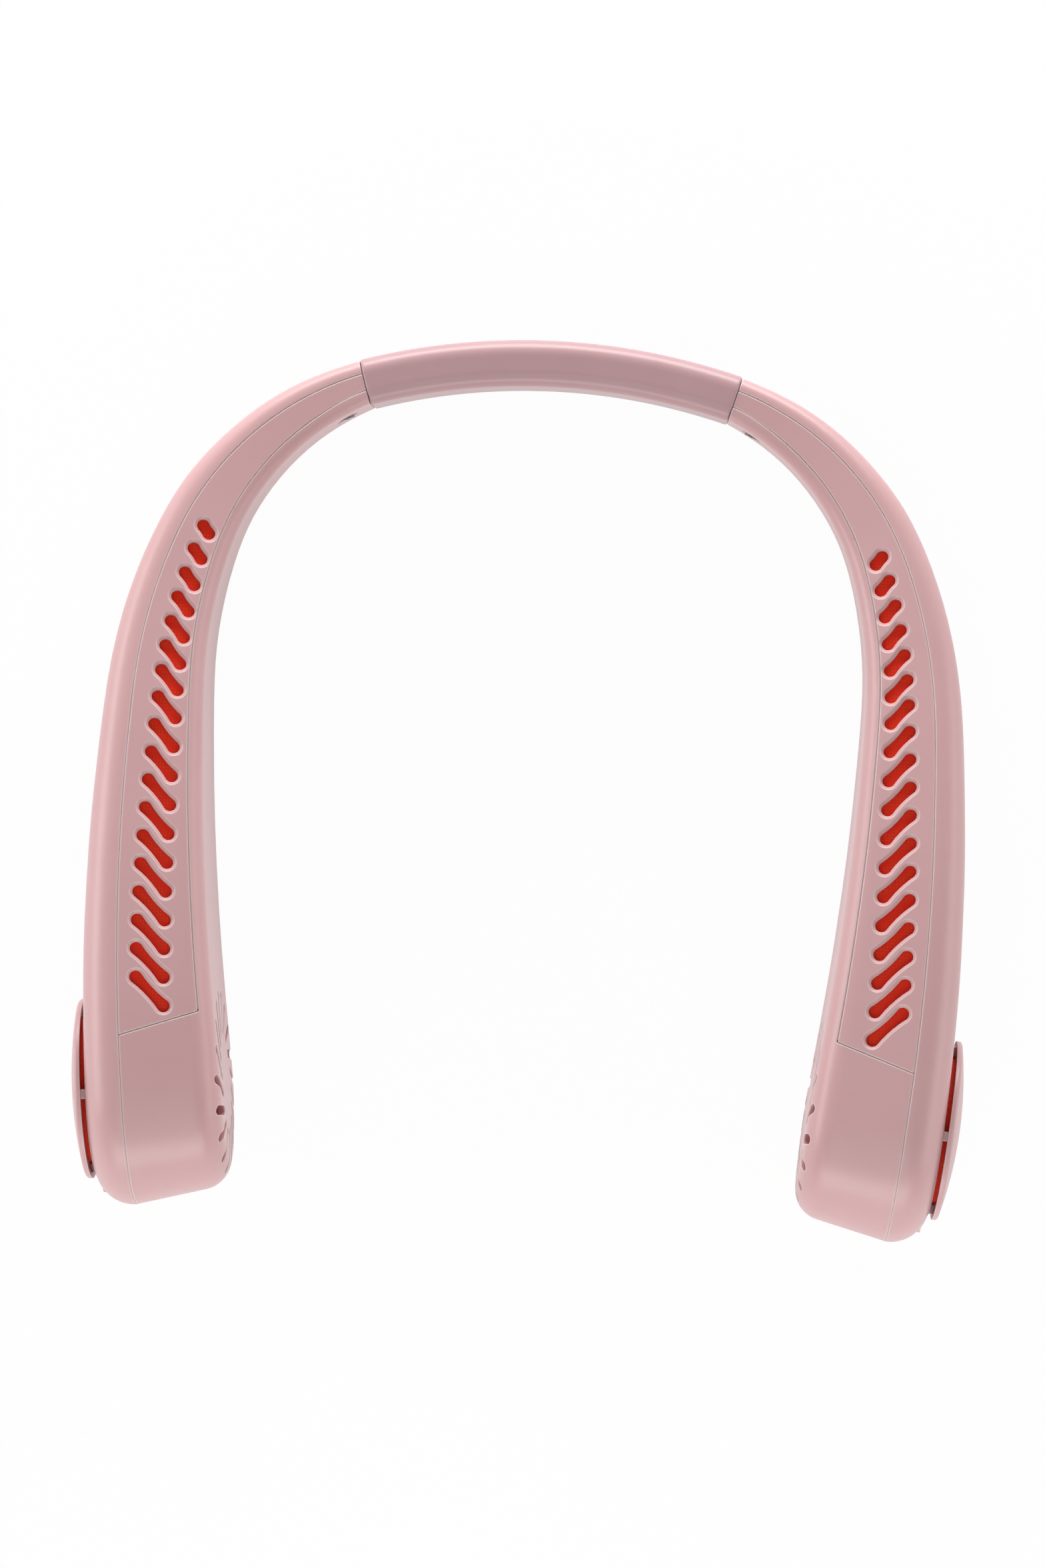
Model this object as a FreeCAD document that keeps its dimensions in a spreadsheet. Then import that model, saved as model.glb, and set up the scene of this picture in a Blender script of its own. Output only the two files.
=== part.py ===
import FreeCAD, Part
import math
import os
import re
import Sketcher
from FreeCAD import Placement, Rotation, Vector

# Bladeless neck fan: a U of two hollow blower arms joined by a springy neck band.
# The U lies flat on Z = 0 with its outlet slots facing +Z and its open end towards -Y.
# The right arm is built and the left arm is its mirror image across X = 0.

doc = FreeCAD.newDocument("NeckFan")

# Driving sizes in millimetres and degrees
SIZES = (
    ("band_radius", "146", "outer edge of the arms' centre circle at the nape"),
    ("seam_angle", "16.6", "angle from the apex to the seam between band and arm"),
    ("shoulder_radius", "66", "outer edge, first bend below the seam"),
    ("shoulder_turn", "49.4", "how far the first bend turns"),
    ("upper_radius", "110", "outer edge, second bend"),
    ("upper_turn", "19", "how far the second bend turns"),
    ("lower_radius", "486", "outer edge, long lower bend"),
    ("lower_turn", "10.5", "how far the lower bend turns"),
    ("seam_thick", "9.5", "arm from neck side to outer side at the seam"),
    ("blower_thick", "29", "arm from neck side to outer side at the blower"),
    ("seam_height", "24", "arm from underside to front at the seam"),
    ("blower_radius", "25.6", "round end of the arm"),
    ("edge_share", "0.28", "part of the thickness that the outer rounding takes"),
    ("front_draft", "9.5", "slope of the front face at the blower"),
    ("seam_corner", "2.2", "neck-side rounding at the seam"),
    ("blower_corner", "6.5", "neck-side rounding at the blower"),
    ("foot_depth", "0.4", "how much of the underside is flat"),
    ("wall", "1.8", "wall of the arm shells"),
    ("parting_gap", "0.2", "line between two shells"),
    ("parting_step", "0.3", "parting line from the outer rounding"),
    ("grille_margin", "3", "neck-side edge of the grille from the neck side"),
    ("grille_end", "15.5", "end of the grille above the blower axis"),
    ("grille_slant", "15.5", "slant of the grille's end"),
    ("grille_pivot", "9", "point that the grille's end slants about, from the outer rounding"),
    ("slot_count", "18", "outlet slots in each grille"),
    ("slot_pitch", "6.05", "outlet slots along the arm"),
    ("slot_last", "24.5", "last slot above the blower axis"),
    ("slot_short", "4.3", "first slot"),
    ("slot_long", "11", "last slot"),
    ("slot_end", "1.25", "round end of a slot"),
    ("slot_waist", "0.08", "waist of a slot as a share of its half length"),
    ("slot_lean_first", "48", "first slot below the level"),
    ("slot_lean_last", "44", "last slot below the level"),
    ("slot_place", "0.65", "slot centres across the arm, from its outer edge"),
    ("slot_rim", "0.4", "bevel round a slot"),
    ("mesh_thick", "0.6", "dust mesh"),
    ("mesh_gap", "0.1", "dust mesh behind the wall it lies on"),
    ("neck_gap", "0.85", "neck-side mesh from the wall at the blower axis"),
    ("intake_radius", "14.5", "air intake in the outer shell"),
    ("seat_radius", "18.9", "raised seat under the intake cap"),
    ("cap_radius", "19.5", "intake cap"),
    ("cap_gap", "1", "air gap under the cap's rim"),
    ("cap_rim", "1.1", "straight rim of the cap"),
    ("cap_rise", "2.2", "dome of the cap above its rim"),
    ("cap_skin", "1.4", "wall of the cap"),
    ("cap_edge", "0.7", "rounding of the cap's rim"),
    ("leg_count", "4", "legs of the cap"),
    ("leg_width", "2", "leg of the cap"),
    ("leg_inset", "0.6", "leg of the cap from the edge of its seat"),
    ("leg_peg", "1", "leg of the cap inside its pocket"),
    ("fit_gap", "0.1", "clearance round a fixed piece"),
    ("slit_count", "18", "neck-side intake slits"),
    ("slit_width", "2.1", "neck-side intake slit"),
    ("slit_inner", "10", "inner end of the slits"),
    ("slit_outer", "20.2", "outer end of the slits"),
    ("slit_lean", "35", "swirl of the slits"),
    ("impeller_radius", "15.8", "impeller"),
    ("impeller_length", "11", "impeller along its axis"),
    ("impeller_gap", "1.6", "impeller from the outer shell"),
    ("ring_width", "1.2", "end rings of the impeller"),
    ("ring_thick", "0.8", "end rings of the impeller"),
    ("blade_count", "26", "impeller blades"),
    ("blade_depth", "3.6", "impeller blade"),
    ("blade_thick", "0.7", "impeller blade"),
    ("blade_sweep", "1.5", "bow of an impeller blade"),
    ("web_thick", "1", "impeller web"),
    ("hub_wall", "1.2", "impeller hub"),
    ("rotor_radius", "8.1", "rotor cup"),
    ("rotor_wall", "0.9", "rotor cup"),
    ("rotor_gap", "0.4", "air gap between rotor and stator"),
    ("shaft_radius", "1", "motor shaft"),
    ("shaft_gap", "0.03", "running fit of the shaft"),
    ("bush_wall", "1.5", "motor bearing"),
    ("tube_wall", "1", "bearing tube"),
    ("tooth_count", "6", "stator teeth"),
    ("tooth_width", "2", "stator tooth"),
    ("housing_gap", "1.5", "blower housing round the impeller"),
    ("housing_wall", "1.5", "blower housing"),
    ("housing_floor", "1.4", "floor of the blower housing"),
    ("window_width", "25", "outlet of the blower housing"),
    ("ear_reach", "20.9", "housing screws from the axis"),
    ("ear_radius", "1.8", "screw ear and boss"),
    ("boss_height", "3.2", "screw boss inside the outer shell"),
    ("ear_thick", "1.6", "screw ear"),
    ("screw_radius", "0.8", "screw shank"),
    ("screw_head", "1.6", "screw head"),
    ("head_height", "1.2", "screw head"),
    ("screw_length", "4", "screw shank"),
    ("screw_gap", "0.05", "hole round a screw"),
    ("battery_place", "88", "middle of the battery from the seam"),
    ("battery_length", "46", "battery"),
    ("battery_thick", "8", "battery"),
    ("battery_width", "22", "battery"),
    ("battery_edge", "1.5", "battery rounding"),
    ("battery_inset", "5.4", "battery from the arm's outer edge"),
    ("battery_floor", "2.6", "battery above the table"),
    ("rib_thick", "1.6", "battery ribs"),
    ("rib_spread", "30", "battery ribs apart"),
    ("rib_hold", "3", "battery ribs round the battery"),
    ("board_place", "134", "middle of the main board from the seam"),
    ("board_length", "34", "main board"),
    ("board_width", "20", "main board"),
    ("board_thick", "1.2", "main board"),
    ("board_inset", "11.2", "main board from the arm's outer edge"),
    ("board_floor", "5.5", "main board above the table"),
    ("port_width", "8.9", "charging port"),
    ("port_thick", "3.2", "charging port"),
    ("port_depth", "7.3", "charging port"),
    ("port_wall", "0.35", "charging port shell"),
    ("port_shift", "6", "charging port below the middle of the board"),
    ("switch_side", "4.5", "switch body"),
    ("switch_height", "3.4", "switch body"),
    ("plunger_rise", "0.6", "switch plunger above its body"),
    ("button_shift", "8", "button above the middle of the board"),
    ("button_radius", "3.6", "power button"),
    ("button_flange", "1", "button flange"),
    ("button_travel", "0.5", "button stroke"),
    ("stem_radius", "1.4", "button stem"),
    ("stem_gap", "0.3", "pressed button stem from the switch"),
    ("lens_shift", "4", "indicator below the middle of the board"),
    ("lens_length", "6", "indicator lens"),
    ("lens_width", "1.8", "indicator lens"),
    ("sleeve_proud", "0.3", "neck band outside the arms' faces"),
    ("sleeve_corner", "3.4", "neck band rounding"),
    ("sleeve_gap", "0.25", "seam between band and arm"),
    ("channel_width", "5", "channel in the neck band"),
    ("channel_height", "16", "channel in the neck band"),
    ("spring_thick", "0.6", "spring strip"),
    ("spring_height", "12", "spring strip"),
    ("cable_radius", "1", "link cable"),
    ("tongue_reach", "10", "band plug inside the band"),
    ("plug_reach", "13", "band plug inside the arm"),
    ("plug_gap", "0.2", "band plug from the walls of the arm"),
    ("clamp_place", "7", "clamp screw from the seam"),
    ("recess_radius", "2.5", "screw recess"),
    ("recess_depth", "0.9", "screw recess"),
    ("clamp_length", "2.6", "clamp screw shank"),
    ("lead_radius", "0.9", "motor lead"),
    ("lead_knee", "60", "bend of the motor lead above the blower axis"),
    ("lead_bend", "30", "bend of the motor lead"),
)
sheet = doc.addObject("Spreadsheet::Sheet", "Sizes")
for row, (alias, value, note) in enumerate(SIZES, 1):
    sheet.set("A%d" % row, note)
    sheet.set("B%d" % row, value)
    sheet.setAlias("B%d" % row, alias)
doc.recompute()


def size(alias):
    return float(sheet.get(alias))


def turned(degrees):
    return Vector(math.sin(math.radians(degrees)), math.cos(math.radians(degrees)), 0)


# Outer edge of the right arm: tangent arcs, measured as a run from the seam
BENDS = (
    (size("shoulder_radius"), size("shoulder_turn")),
    (size("upper_radius"), size("upper_turn")),
    (size("lower_radius"), size("lower_turn")),
)
RUN = sum(radius * math.radians(turn) for radius, turn in BENDS)
END_ANGLE = size("seam_angle") + sum(turn for radius, turn in BENDS)


def edge(run, apex=0.0):
    """Point on the outer edge and its heading, for a run from the seam."""
    radius = size("band_radius")
    angle = size("seam_angle")
    centre = Vector(0, apex - radius, 0)
    if run < 0:
        angle += math.degrees(run / radius)
        return centre + turned(angle) * radius, angle
    left = min(run, RUN)
    for bend, turn in BENDS:
        centre = centre + turned(angle) * (radius - bend)
        radius = bend
        step = min(math.degrees(left / bend), turn)
        if left <= bend * math.radians(turn) + 1e-9:
            break
        left -= bend * math.radians(turn)
        angle += turn
    else:
        step = 0.0
    angle += step
    point = centre + turned(angle) * radius
    if run > RUN:
        point = point + ahead(angle) * (run - RUN)
    return point, angle


def ahead(angle):
    return Vector(math.cos(math.radians(angle)), -math.sin(math.radians(angle)), 0)


END_EDGE = size("edge_share") * size("blower_thick")
END_TILT = math.radians(END_ANGLE - 90)
TIP_DROP = END_EDGE + math.cos(END_TILT) * (size("blower_radius") - END_EDGE)
LENGTH = math.sin(END_TILT) * END_EDGE - TIP_DROP + edge(RUN)[0].y
APEX = (-LENGTH - size("sleeve_proud")) / 2
AXIS_Z = size("blower_radius") - size("foot_depth")


def frame(run, inset=0.0, level=0.0):
    """Local frame on the arm: X up the arm, Y down to the table, Z in from the outer edge."""
    point, angle = edge(run, APEX)
    inward = turned(angle) * -1
    up_arm = ahead(angle) * -1
    turn = Rotation(up_arm, Vector(0, 0, -1), inward, "ZXY")
    return Placement(point + inward * inset + Vector(0, 0, level), turn)


def grown(run):
    """Thickness, underside, front, outer rounding, neck-side rounding and slope at a run."""
    share = min(max(run / RUN, 0.0), 1.0)
    wide = 1 - (1 - share) ** 1.25
    tall = share * share * (3 - 2 * share)
    thick = size("seam_thick") + (size("blower_thick") - size("seam_thick")) * wide
    under = -size("foot_depth")
    front_end = under + 2 * size("blower_radius")
    front = size("seam_height") + (front_end - size("seam_height")) * tall
    corner = size("seam_corner") + (size("blower_corner") - size("seam_corner")) * share
    slope = math.tan(math.radians(size("front_draft") * share))
    return thick, under, front, size("edge_share") * thick, corner, slope


def skin(run, inset, across):
    """Height of the front wall, an inset below its face, at a distance from the outer edge."""
    thick, under, front, rounding, corner, slope = grown(run)
    return front - inset - slope * max(across - rounding, 0.0)


def on_arm(run, across, height):
    point, angle = edge(run, APEX)
    return point - turned(angle) * across + Vector(0, 0, height)


def corner_points(corner, before, after, radius):
    first = (before - corner).normalize()
    second = (after - corner).normalize()
    half = first.getAngle(second) / 2
    middle = (first + second).normalize()
    touch = radius / math.tan(half)
    crown = corner + middle * (radius / math.sin(half) - radius)
    return corner + first * touch, crown, corner + second * touch


def ring_of(points):
    """Closed wire from two- and three-point stretches, each starting where the last ended."""
    edges = []
    for stretch in points:
        if len(stretch) == 3:
            edges.append(Part.Arc(*stretch).toShape())
        else:
            edges.append(Part.LineSegment(*stretch).toShape())
    return Part.Wire(edges)


def section(run, inset, half=False):
    """Cross-section of the arm, all round or only its front half down to the blower axis."""
    thick, under, front, rounding, corner, slope = grown(run)
    corner -= inset
    arc = rounding - inset
    near = inset
    far = thick - inset
    drop = slope * (far - rounding)
    bow = arc * (1 - math.sqrt(0.5))

    def at(across, height):
        return on_arm(run, across, height)

    crease = at(rounding, front - inset)
    shoulder = at(near, front - inset - arc)
    top = corner_points(at(far, front - inset - drop), crease, at(far, 0), corner)
    over = (shoulder, at(near + bow, front - inset - bow), crease)
    if half:
        low = at(far, AXIS_Z)
        base = at(near, AXIS_Z)
        return ring_of((over, (crease, top[0]), top, (top[2], low), (low, base), (base, shoulder)))
    fold = at(rounding, under + inset)
    heel = at(near, under + inset + arc)
    low = corner_points(at(far, under + inset + drop), at(far, front), fold, corner)
    round_under = (fold, at(near + bow, under + inset + bow), heel)
    return ring_of((over, (crease, top[0]), top, (top[2], low[0]), low, (low[2], fold), round_under,
                    (heel, shoulder)))


def stations(start, end):
    """Runs of the lofted sections: even steps along the arm, kept between two ends."""
    step = RUN / 14
    inside = [step * k for k in range(15) if start + 1 < step * k < end - 1]
    return [start] + inside + [end]


AXIS = frame(RUN, 0, AXIS_Z)


def arm_solid(inset, start):
    """Arm with its round end, inset all round, as a lofted part and a turned part."""
    wires = [section(run, inset) for run in stations(start, RUN)]
    loft = Part.makeLoft(wires, True)
    tip = Part.Face(section(RUN, inset, True))
    inward = AXIS.Rotation.multVec(Vector(0, 0, 1))
    return loft, tip.revolve(AXIS.Base, inward, -180)


def zone(quad, start, end):
    """Solid along the arm whose four corners are given for each run."""
    wires = [Part.makePolygon(quad(run) + quad(run)[:1]) for run in stations(start, end)]
    return Part.makeLoft(wires, True)


def slab(low, high):
    """Everything between two distances from the outer edge, to past the round end."""
    reach = 2 * size("blower_radius") + 10

    def quad(run):
        return [on_arm(run, low(run), -5), on_arm(run, high(run), -5),
                on_arm(run, high(run), reach), on_arm(run, low(run), reach)]

    return [zone(quad, -4, RUN), zone(quad, RUN, RUN + 2 * size("blower_radius"))]


def parting(run):
    return grown(run)[3] + size("parting_step")


def grille_side(run):
    return grown(run)[0] - size("grille_margin")


def add(label, shape):
    """Free-form piece, shaped from the sheet's sizes."""
    piece = doc.addObject("Part::Feature", label)
    piece.Label = label
    piece.Shape = shape
    return piece


def drum(place, radius, low, high):
    """Round bar along a frame's own Z, between two distances."""
    bar = Part.makeCylinder(radius, high - low, Vector(0, 0, low))
    bar.Placement = place
    return bar


def block(place, x_low, x_high, y_low, y_high, z_low, z_high):
    bar = Part.makeBox(x_high - x_low, y_high - y_low, z_high - z_low, Vector(x_low, y_low, z_low))
    bar.Placement = place
    return bar


# Arm body: lofted skin, hollowed and trimmed flat underneath
loft, tip = arm_solid(0, 0)
bore, tip_bore = arm_solid(size("wall"), -4)
foot = Part.makeBox(400, 400, 20, Vector(-200, -200, -20))
hollow = loft.cut(bore).fuse(tip.cut(tip_bore)).cut(foot)
gap = size("parting_gap") / 2
outer_zone = slab(lambda run: -10, lambda run: parting(run) + gap)
inner_zone = slab(lambda run: parting(run) - gap, lambda run: grown(run)[0] + 10)


def grille_zone(play):
    """The strip of front wall that the grille takes, grown by some play."""
    def quad(run):
        near = parting(run) + gap - play
        far = grille_side(run) + play
        base = size("wall") + 0.6
        return [on_arm(run, near, skin(run, base, near)), on_arm(run, far, skin(run, base, far)),
                on_arm(run, far, skin(run, -8, far)), on_arm(run, near, skin(run, -8, near))]

    strip = zone(quad, -4, RUN)
    beyond = frame(RUN - size("grille_end") + play, END_EDGE + size("grille_pivot"))
    beyond.Rotation = Rotation(Vector(0, 0, 1), -size("grille_slant")).multiply(beyond.Rotation)
    return strip.cut(block(beyond, -60, 0, -80, 10, -40, 40))


outer_half = hollow.cut(inner_zone)
inner_half = hollow.cut(outer_zone + [grille_zone(size("parting_gap"))])
grille = hollow.common(grille_zone(0))


# Outlet slots: bone-shaped cuts on the local face of the grille
def bone(place, length, spread, depth):
    """Bone outline in a frame's XY plane at a depth along its Z."""
    end = size("slot_end")
    reach = length / 2 - end
    waist = end - size("slot_waist") * reach + spread
    end += spread
    marks = [Vector(-reach, end, depth), Vector(0, waist, depth), Vector(reach, end, depth),
             Vector(reach + end, 0, depth), Vector(reach, -end, depth), Vector(0, -waist, depth),
             Vector(-reach, -end, depth), Vector(-reach - end, 0, depth)]
    marks = [place.multVec(mark) for mark in marks]
    marks.append(marks[0])
    return ring_of([marks[k:k + 3] for k in range(0, 8, 2)])


def slot_tools():
    tools = []
    count = int(size("slot_count"))
    for k in range(count):
        share = k / max(count - 1, 1)
        run = RUN - size("slot_last") - size("slot_pitch") * (count - 1 - k)
        across = size("slot_place") * grown(run)[0]
        here = on_arm(run, across, skin(run, 0, across))
        on = on_arm(run + 1, across, skin(run + 1, 0, across)) - here
        over = on_arm(run, across + 1, skin(run, 0, across + 1)) - here
        normal = over.cross(on).normalize()
        if normal.z < 0:
            normal = normal * -1
        lean = size("slot_lean_first") + (size("slot_lean_last") - size("slot_lean_first")) * share
        along = Vector(-math.cos(math.radians(lean)), -math.sin(math.radians(lean)), 0)
        place = Placement(here, Rotation(along, Vector(0, 0, 0), normal, "ZXY"))
        ease = 1 - (1 - share) ** 1.8
        length = size("slot_short") + (size("slot_long") - size("slot_short")) * ease
        through = bone(place, length, 0, -size("wall") - 3)
        rim = size("slot_rim")
        tools.append(Part.Face(through).extrude(normal * (size("wall") + 4)))
        flare = [bone(place, length, 0, -rim), bone(place, length, 2 * rim, rim)]
        tools.append(Part.makeLoft(flare, True, True))
    return tools


grille = grille.cut(slot_tools())

# Blower fittings in the outer shell: cap seat, intake, leg pockets and screw bosses
wall = size("wall")
seat = drum(AXIS, size("seat_radius"), 0, wall)
pegs = []
for k in range(int(size("leg_count"))):
    turn = Placement(Vector(0, 0, 0), Rotation(Vector(0, 0, 1), -90 + 360 * k / size("leg_count")))
    half_leg = size("leg_width") / 2 + size("fit_gap")
    reach = size("seat_radius") - size("leg_inset")
    pegs.append(block(AXIS.multiply(turn), reach - size("leg_width") - size("fit_gap"),
                      reach + size("fit_gap"), -half_leg, half_leg,
                      -1, size("leg_peg") + size("fit_gap")))
EAR_ANGLES = (180, 62, -62)
EARS = []
for angle in EAR_ANGLES:
    turn = Placement(Vector(0, 0, 0), Rotation(Vector(0, 0, 1), angle))
    EARS.append(AXIS.multiply(turn).multiply(Placement(Vector(size("ear_reach"), 0, 0), Rotation())))
boss_top = wall + size("boss_height")
hole = size("screw_radius") + size("screw_gap")
bosses = [drum(ear, size("ear_radius"), wall - 0.8, boss_top) for ear in EARS]
pilots = [drum(ear, hole, boss_top + size("ear_thick") - size("screw_length") - 0.3, boss_top + 1)
          for ear in EARS]

# Battery ribs: cross walls inside the outer shell that hold the battery's edges
BATTERY = frame(size("battery_place"), size("battery_inset"))
fit = size("fit_gap")
half_battery = size("battery_length") / 2
battery_low = size("battery_floor")
battery_high = battery_low + size("battery_width")
battery_room = block(BATTERY, -half_battery - fit, half_battery + fit, -battery_high - fit,
                     -battery_low + fit, -fit, size("battery_thick") + 20)
ribs = []
for side in (-1, 1):
    middle = side * size("rib_spread") / 2
    raw = block(BATTERY, middle - size("rib_thick") / 2, middle + size("rib_thick") / 2,
                -battery_high - size("rib_hold"), 0, -size("battery_inset") - 2, size("rib_hold"))
    ribs.append(raw.common(bore).cut([battery_room] + inner_zone))


def outer_shell(fittings, cuts):
    body = outer_half.fuse([seat] + bosses + ribs + fittings)
    return body.cut([drum(AXIS, size("intake_radius"), -2, wall + 1)] + pegs + pilots + cuts)


# Neck-side intake slits, each a round-ended bar leaning off the radius
def slit_tools():
    tools = []
    thick = size("blower_thick")
    half = size("slit_width") / 2
    reach = size("slit_outer") - size("slit_inner") - size("slit_width")
    for k in range(int(size("slit_count"))):
        turn = Placement(Vector(0, 0, 0), Rotation(Vector(0, 0, 1), 360 * k / size("slit_count")))
        lean = Placement(Vector(size("slit_inner") + half, 0, 0),
                         Rotation(Vector(0, 0, 1), size("slit_lean")))
        place = AXIS.multiply(turn).multiply(lean)
        low = thick - wall - size("blower_corner") * 0.5
        span = reach / math.cos(math.radians(size("slit_lean"))) * 0.9
        pill = ring_of(((Vector(0, half, low), Vector(span, half, low)),
                        (Vector(span, half, low), Vector(span + half, 0, low), Vector(span, -half, low)),
                        (Vector(span, -half, low), Vector(0, -half, low)),
                        (Vector(0, -half, low), Vector(-half, 0, low), Vector(0, half, low))))
        bar = Part.Face(pill).extrude(Vector(0, 0, thick + 4 - low))
        bar.Placement = place
        tools.append(bar)
    return tools


# Clamp screw: through the neck side of the arm into the band plug
CLAMP_Z = size("seam_height") / 2
CLAMP_RUN = size("clamp_place")
clamp_thick = grown(CLAMP_RUN)[0]
CLAMP = frame(CLAMP_RUN, clamp_thick, CLAMP_Z)
clamp_cuts = [drum(CLAMP, size("recess_radius"), -size("recess_depth"), 5),
              drum(CLAMP, hole, -wall - 2, 1)]
inner_body = inner_half.cut(slit_tools() + clamp_cuts)

# Main board fittings, on the right arm only
BOARD = frame(size("board_place"), size("board_inset"))
half_board = size("board_length") / 2
board_low = size("board_floor")
board_high = board_low + size("board_width")
BUTTON = frame(size("board_place") - size("button_shift"), 0, board_low + size("board_width") * 0.55)
LENS = frame(size("board_place") + size("lens_shift"), 0, board_low + size("board_width") * 0.55)
PORT = BOARD.multiply(Placement(Vector(-size("port_shift"), 0, -size("port_thick") / 2 - 0.03), Rotation()))
BOARD_SCREWS = []
for side in (-1, 1):
    spot = Placement(Vector(side * (half_board - 2.6), -board_high + 2.6, 0), Rotation())
    BOARD_SCREWS.append(BOARD.multiply(spot))
board_posts = [drum(spot, size("ear_radius"), -size("board_inset") + wall - 0.8, 0)
               for spot in BOARD_SCREWS]
post_holes = [drum(spot, hole, size("board_thick") - size("screw_length") - 0.3, 1)
              for spot in BOARD_SCREWS]


def pill_bar(place, length, width, low, high):
    """Round-ended bar along a frame's Z, its length along the frame's X."""
    half = width / 2
    span = length / 2 - half
    outline = ring_of(((Vector(-span, half, low), Vector(span, half, low)),
                       (Vector(span, half, low), Vector(span + half, 0, low), Vector(span, -half, low)),
                       (Vector(span, -half, low), Vector(-span, -half, low)),
                       (Vector(-span, -half, low), Vector(-span - half, 0, low), Vector(-span, half, low))))
    bar = Part.Face(outline).extrude(Vector(0, 0, high - low))
    bar.Placement = place
    return bar


DOWN = PORT.multiply(Placement(Vector(0, 0, 0), Rotation(Vector(1, 0, 0), 90)))
control_cuts = [drum(BUTTON, size("button_radius") + fit, -2, wall + 1),
                pill_bar(LENS, size("lens_length") + 2 * fit, size("lens_width") + 2 * fit, -2, wall + 1)]
port_cut = pill_bar(DOWN, size("port_width") + 2 * fit, size("port_thick") + 2 * fit, -4, 4)

add("right_outer_shell", outer_shell(board_posts, control_cuts + post_holes))
left_outer_source = outer_shell([], [])
add("left_outer_shell", left_outer_source.mirror(Vector(0, 0, 0), Vector(1, 0, 0)))
add("right_inner_shell", inner_body.cut(port_cut))
add("left_inner_shell", inner_body.mirror(Vector(0, 0, 0), Vector(1, 0, 0)))


def mirrored(piece):
    """The left arm's copy of a right-arm piece."""
    copy = doc.addObject("Part::Mirroring", piece.Label.replace("right_", "left_"))
    copy.Label = piece.Label.replace("right_", "left_")
    copy.Source = piece
    copy.Base = Vector(0, 0, 0)
    copy.Normal = Vector(1, 0, 0)
    return copy


mirrored(add("right_outlet_grille", grille))


# Outlet dust mesh: a thin strip just behind the grille
def mesh_quad(run):
    near = parting(run) + 0.8
    far = min(grille_side(run), grown(run)[0] - size("blower_corner")) - 0.2
    high = wall + size("mesh_gap")
    low = high + size("mesh_thick")
    return [on_arm(run, near, skin(run, low, near)), on_arm(run, far, skin(run, low, far)),
            on_arm(run, far, skin(run, high, far)), on_arm(run, near, skin(run, high, near))]


mesh_start = RUN - size("slot_last") - size("slot_pitch") * (size("slot_count") - 1) - 6
mirrored(add("right_outlet_mesh", zone(mesh_quad, mesh_start, RUN - size("grille_end") - 1)))


# Sketch helpers: every point of an outline is held by two formulas over the sheet
def outline(body, name, role, points, offset=None):
    sketch = body.newObject("Sketcher::SketchObject", name)
    plane = [item for item in body.Origin.OriginFeatures if item.Role == role][0]
    sketch.AttachmentSupport = (plane, [""])
    sketch.MapMode = "FlatFace"
    if offset:
        sketch.setExpression("AttachmentOffset.Base.z", offset)
    values = []
    for x, y in points:
        values.append(Vector(float(sheet.evalExpression(x)), float(sheet.evalExpression(y)), 0))
    count = len(points)
    for k in range(count):
        sketch.addGeometry(Part.LineSegment(values[k], values[(k + 1) % count]), False)
    for k in range(count):
        sketch.addConstraint(Sketcher.Constraint("Coincident", k, 2, (k + 1) % count, 1))
    for k in range(count):
        for kind, axis, formula, value in (("DistanceX", -2, points[k][0], values[k].x),
                                           ("DistanceY", -1, points[k][1], values[k].y)):
            if formula == "0":
                sketch.addConstraint(Sketcher.Constraint("PointOnObject", k, 1, axis))
            else:
                held = sketch.addConstraint(Sketcher.Constraint(kind, -1, 1, k, 1, value))
                sketch.setExpression("Constraints[%d]" % held, bound(formula))
    return sketch


def bound(formula):
    """A formula over plain size names, as an expression over the sheet."""
    names = [entry[0] for entry in SIZES]
    return re.sub("[a-z_]+", lambda word: "Sizes." * (word.group() in names) + word.group(), formula)


def new_body(label, place):
    body = doc.addObject("PartDesign::Body", label)
    body.Label = label
    body.Placement = place
    return body


def turn_profile(body, name, points):
    """Turned feature about the body's Z from an outline in radius and height."""
    profile = outline(body, name + "_profile", "XZ_Plane", points)
    feature = body.newObject("PartDesign::Revolution", name)
    feature.Profile = profile
    feature.ReferenceAxis = (profile, ["V_Axis"])
    feature.Angle = 360
    profile.Visibility = False
    return feature


def raise_profile(body, name, points, length, start, kind="PartDesign::Pad", reverse=False):
    """Pad or pocket of an outline in the body's XY plane, from a start height."""
    profile = outline(body, name + "_profile", "XY_Plane", points, bound(start))
    feature = body.newObject(kind, name)
    feature.Profile = profile
    feature.setExpression("Length", bound(length))
    feature.Reversed = reverse
    return feature


def round_pattern(body, name, feature, count):
    pattern = body.newObject("PartDesign::PolarPattern", name)
    pattern.Originals = [feature]
    pattern.Axis = (feature.Profile[0], ["N_Axis"])
    pattern.Angle = 360
    pattern.setExpression("Occurrences", bound(count))
    body.Tip = pattern
    return pattern


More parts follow.
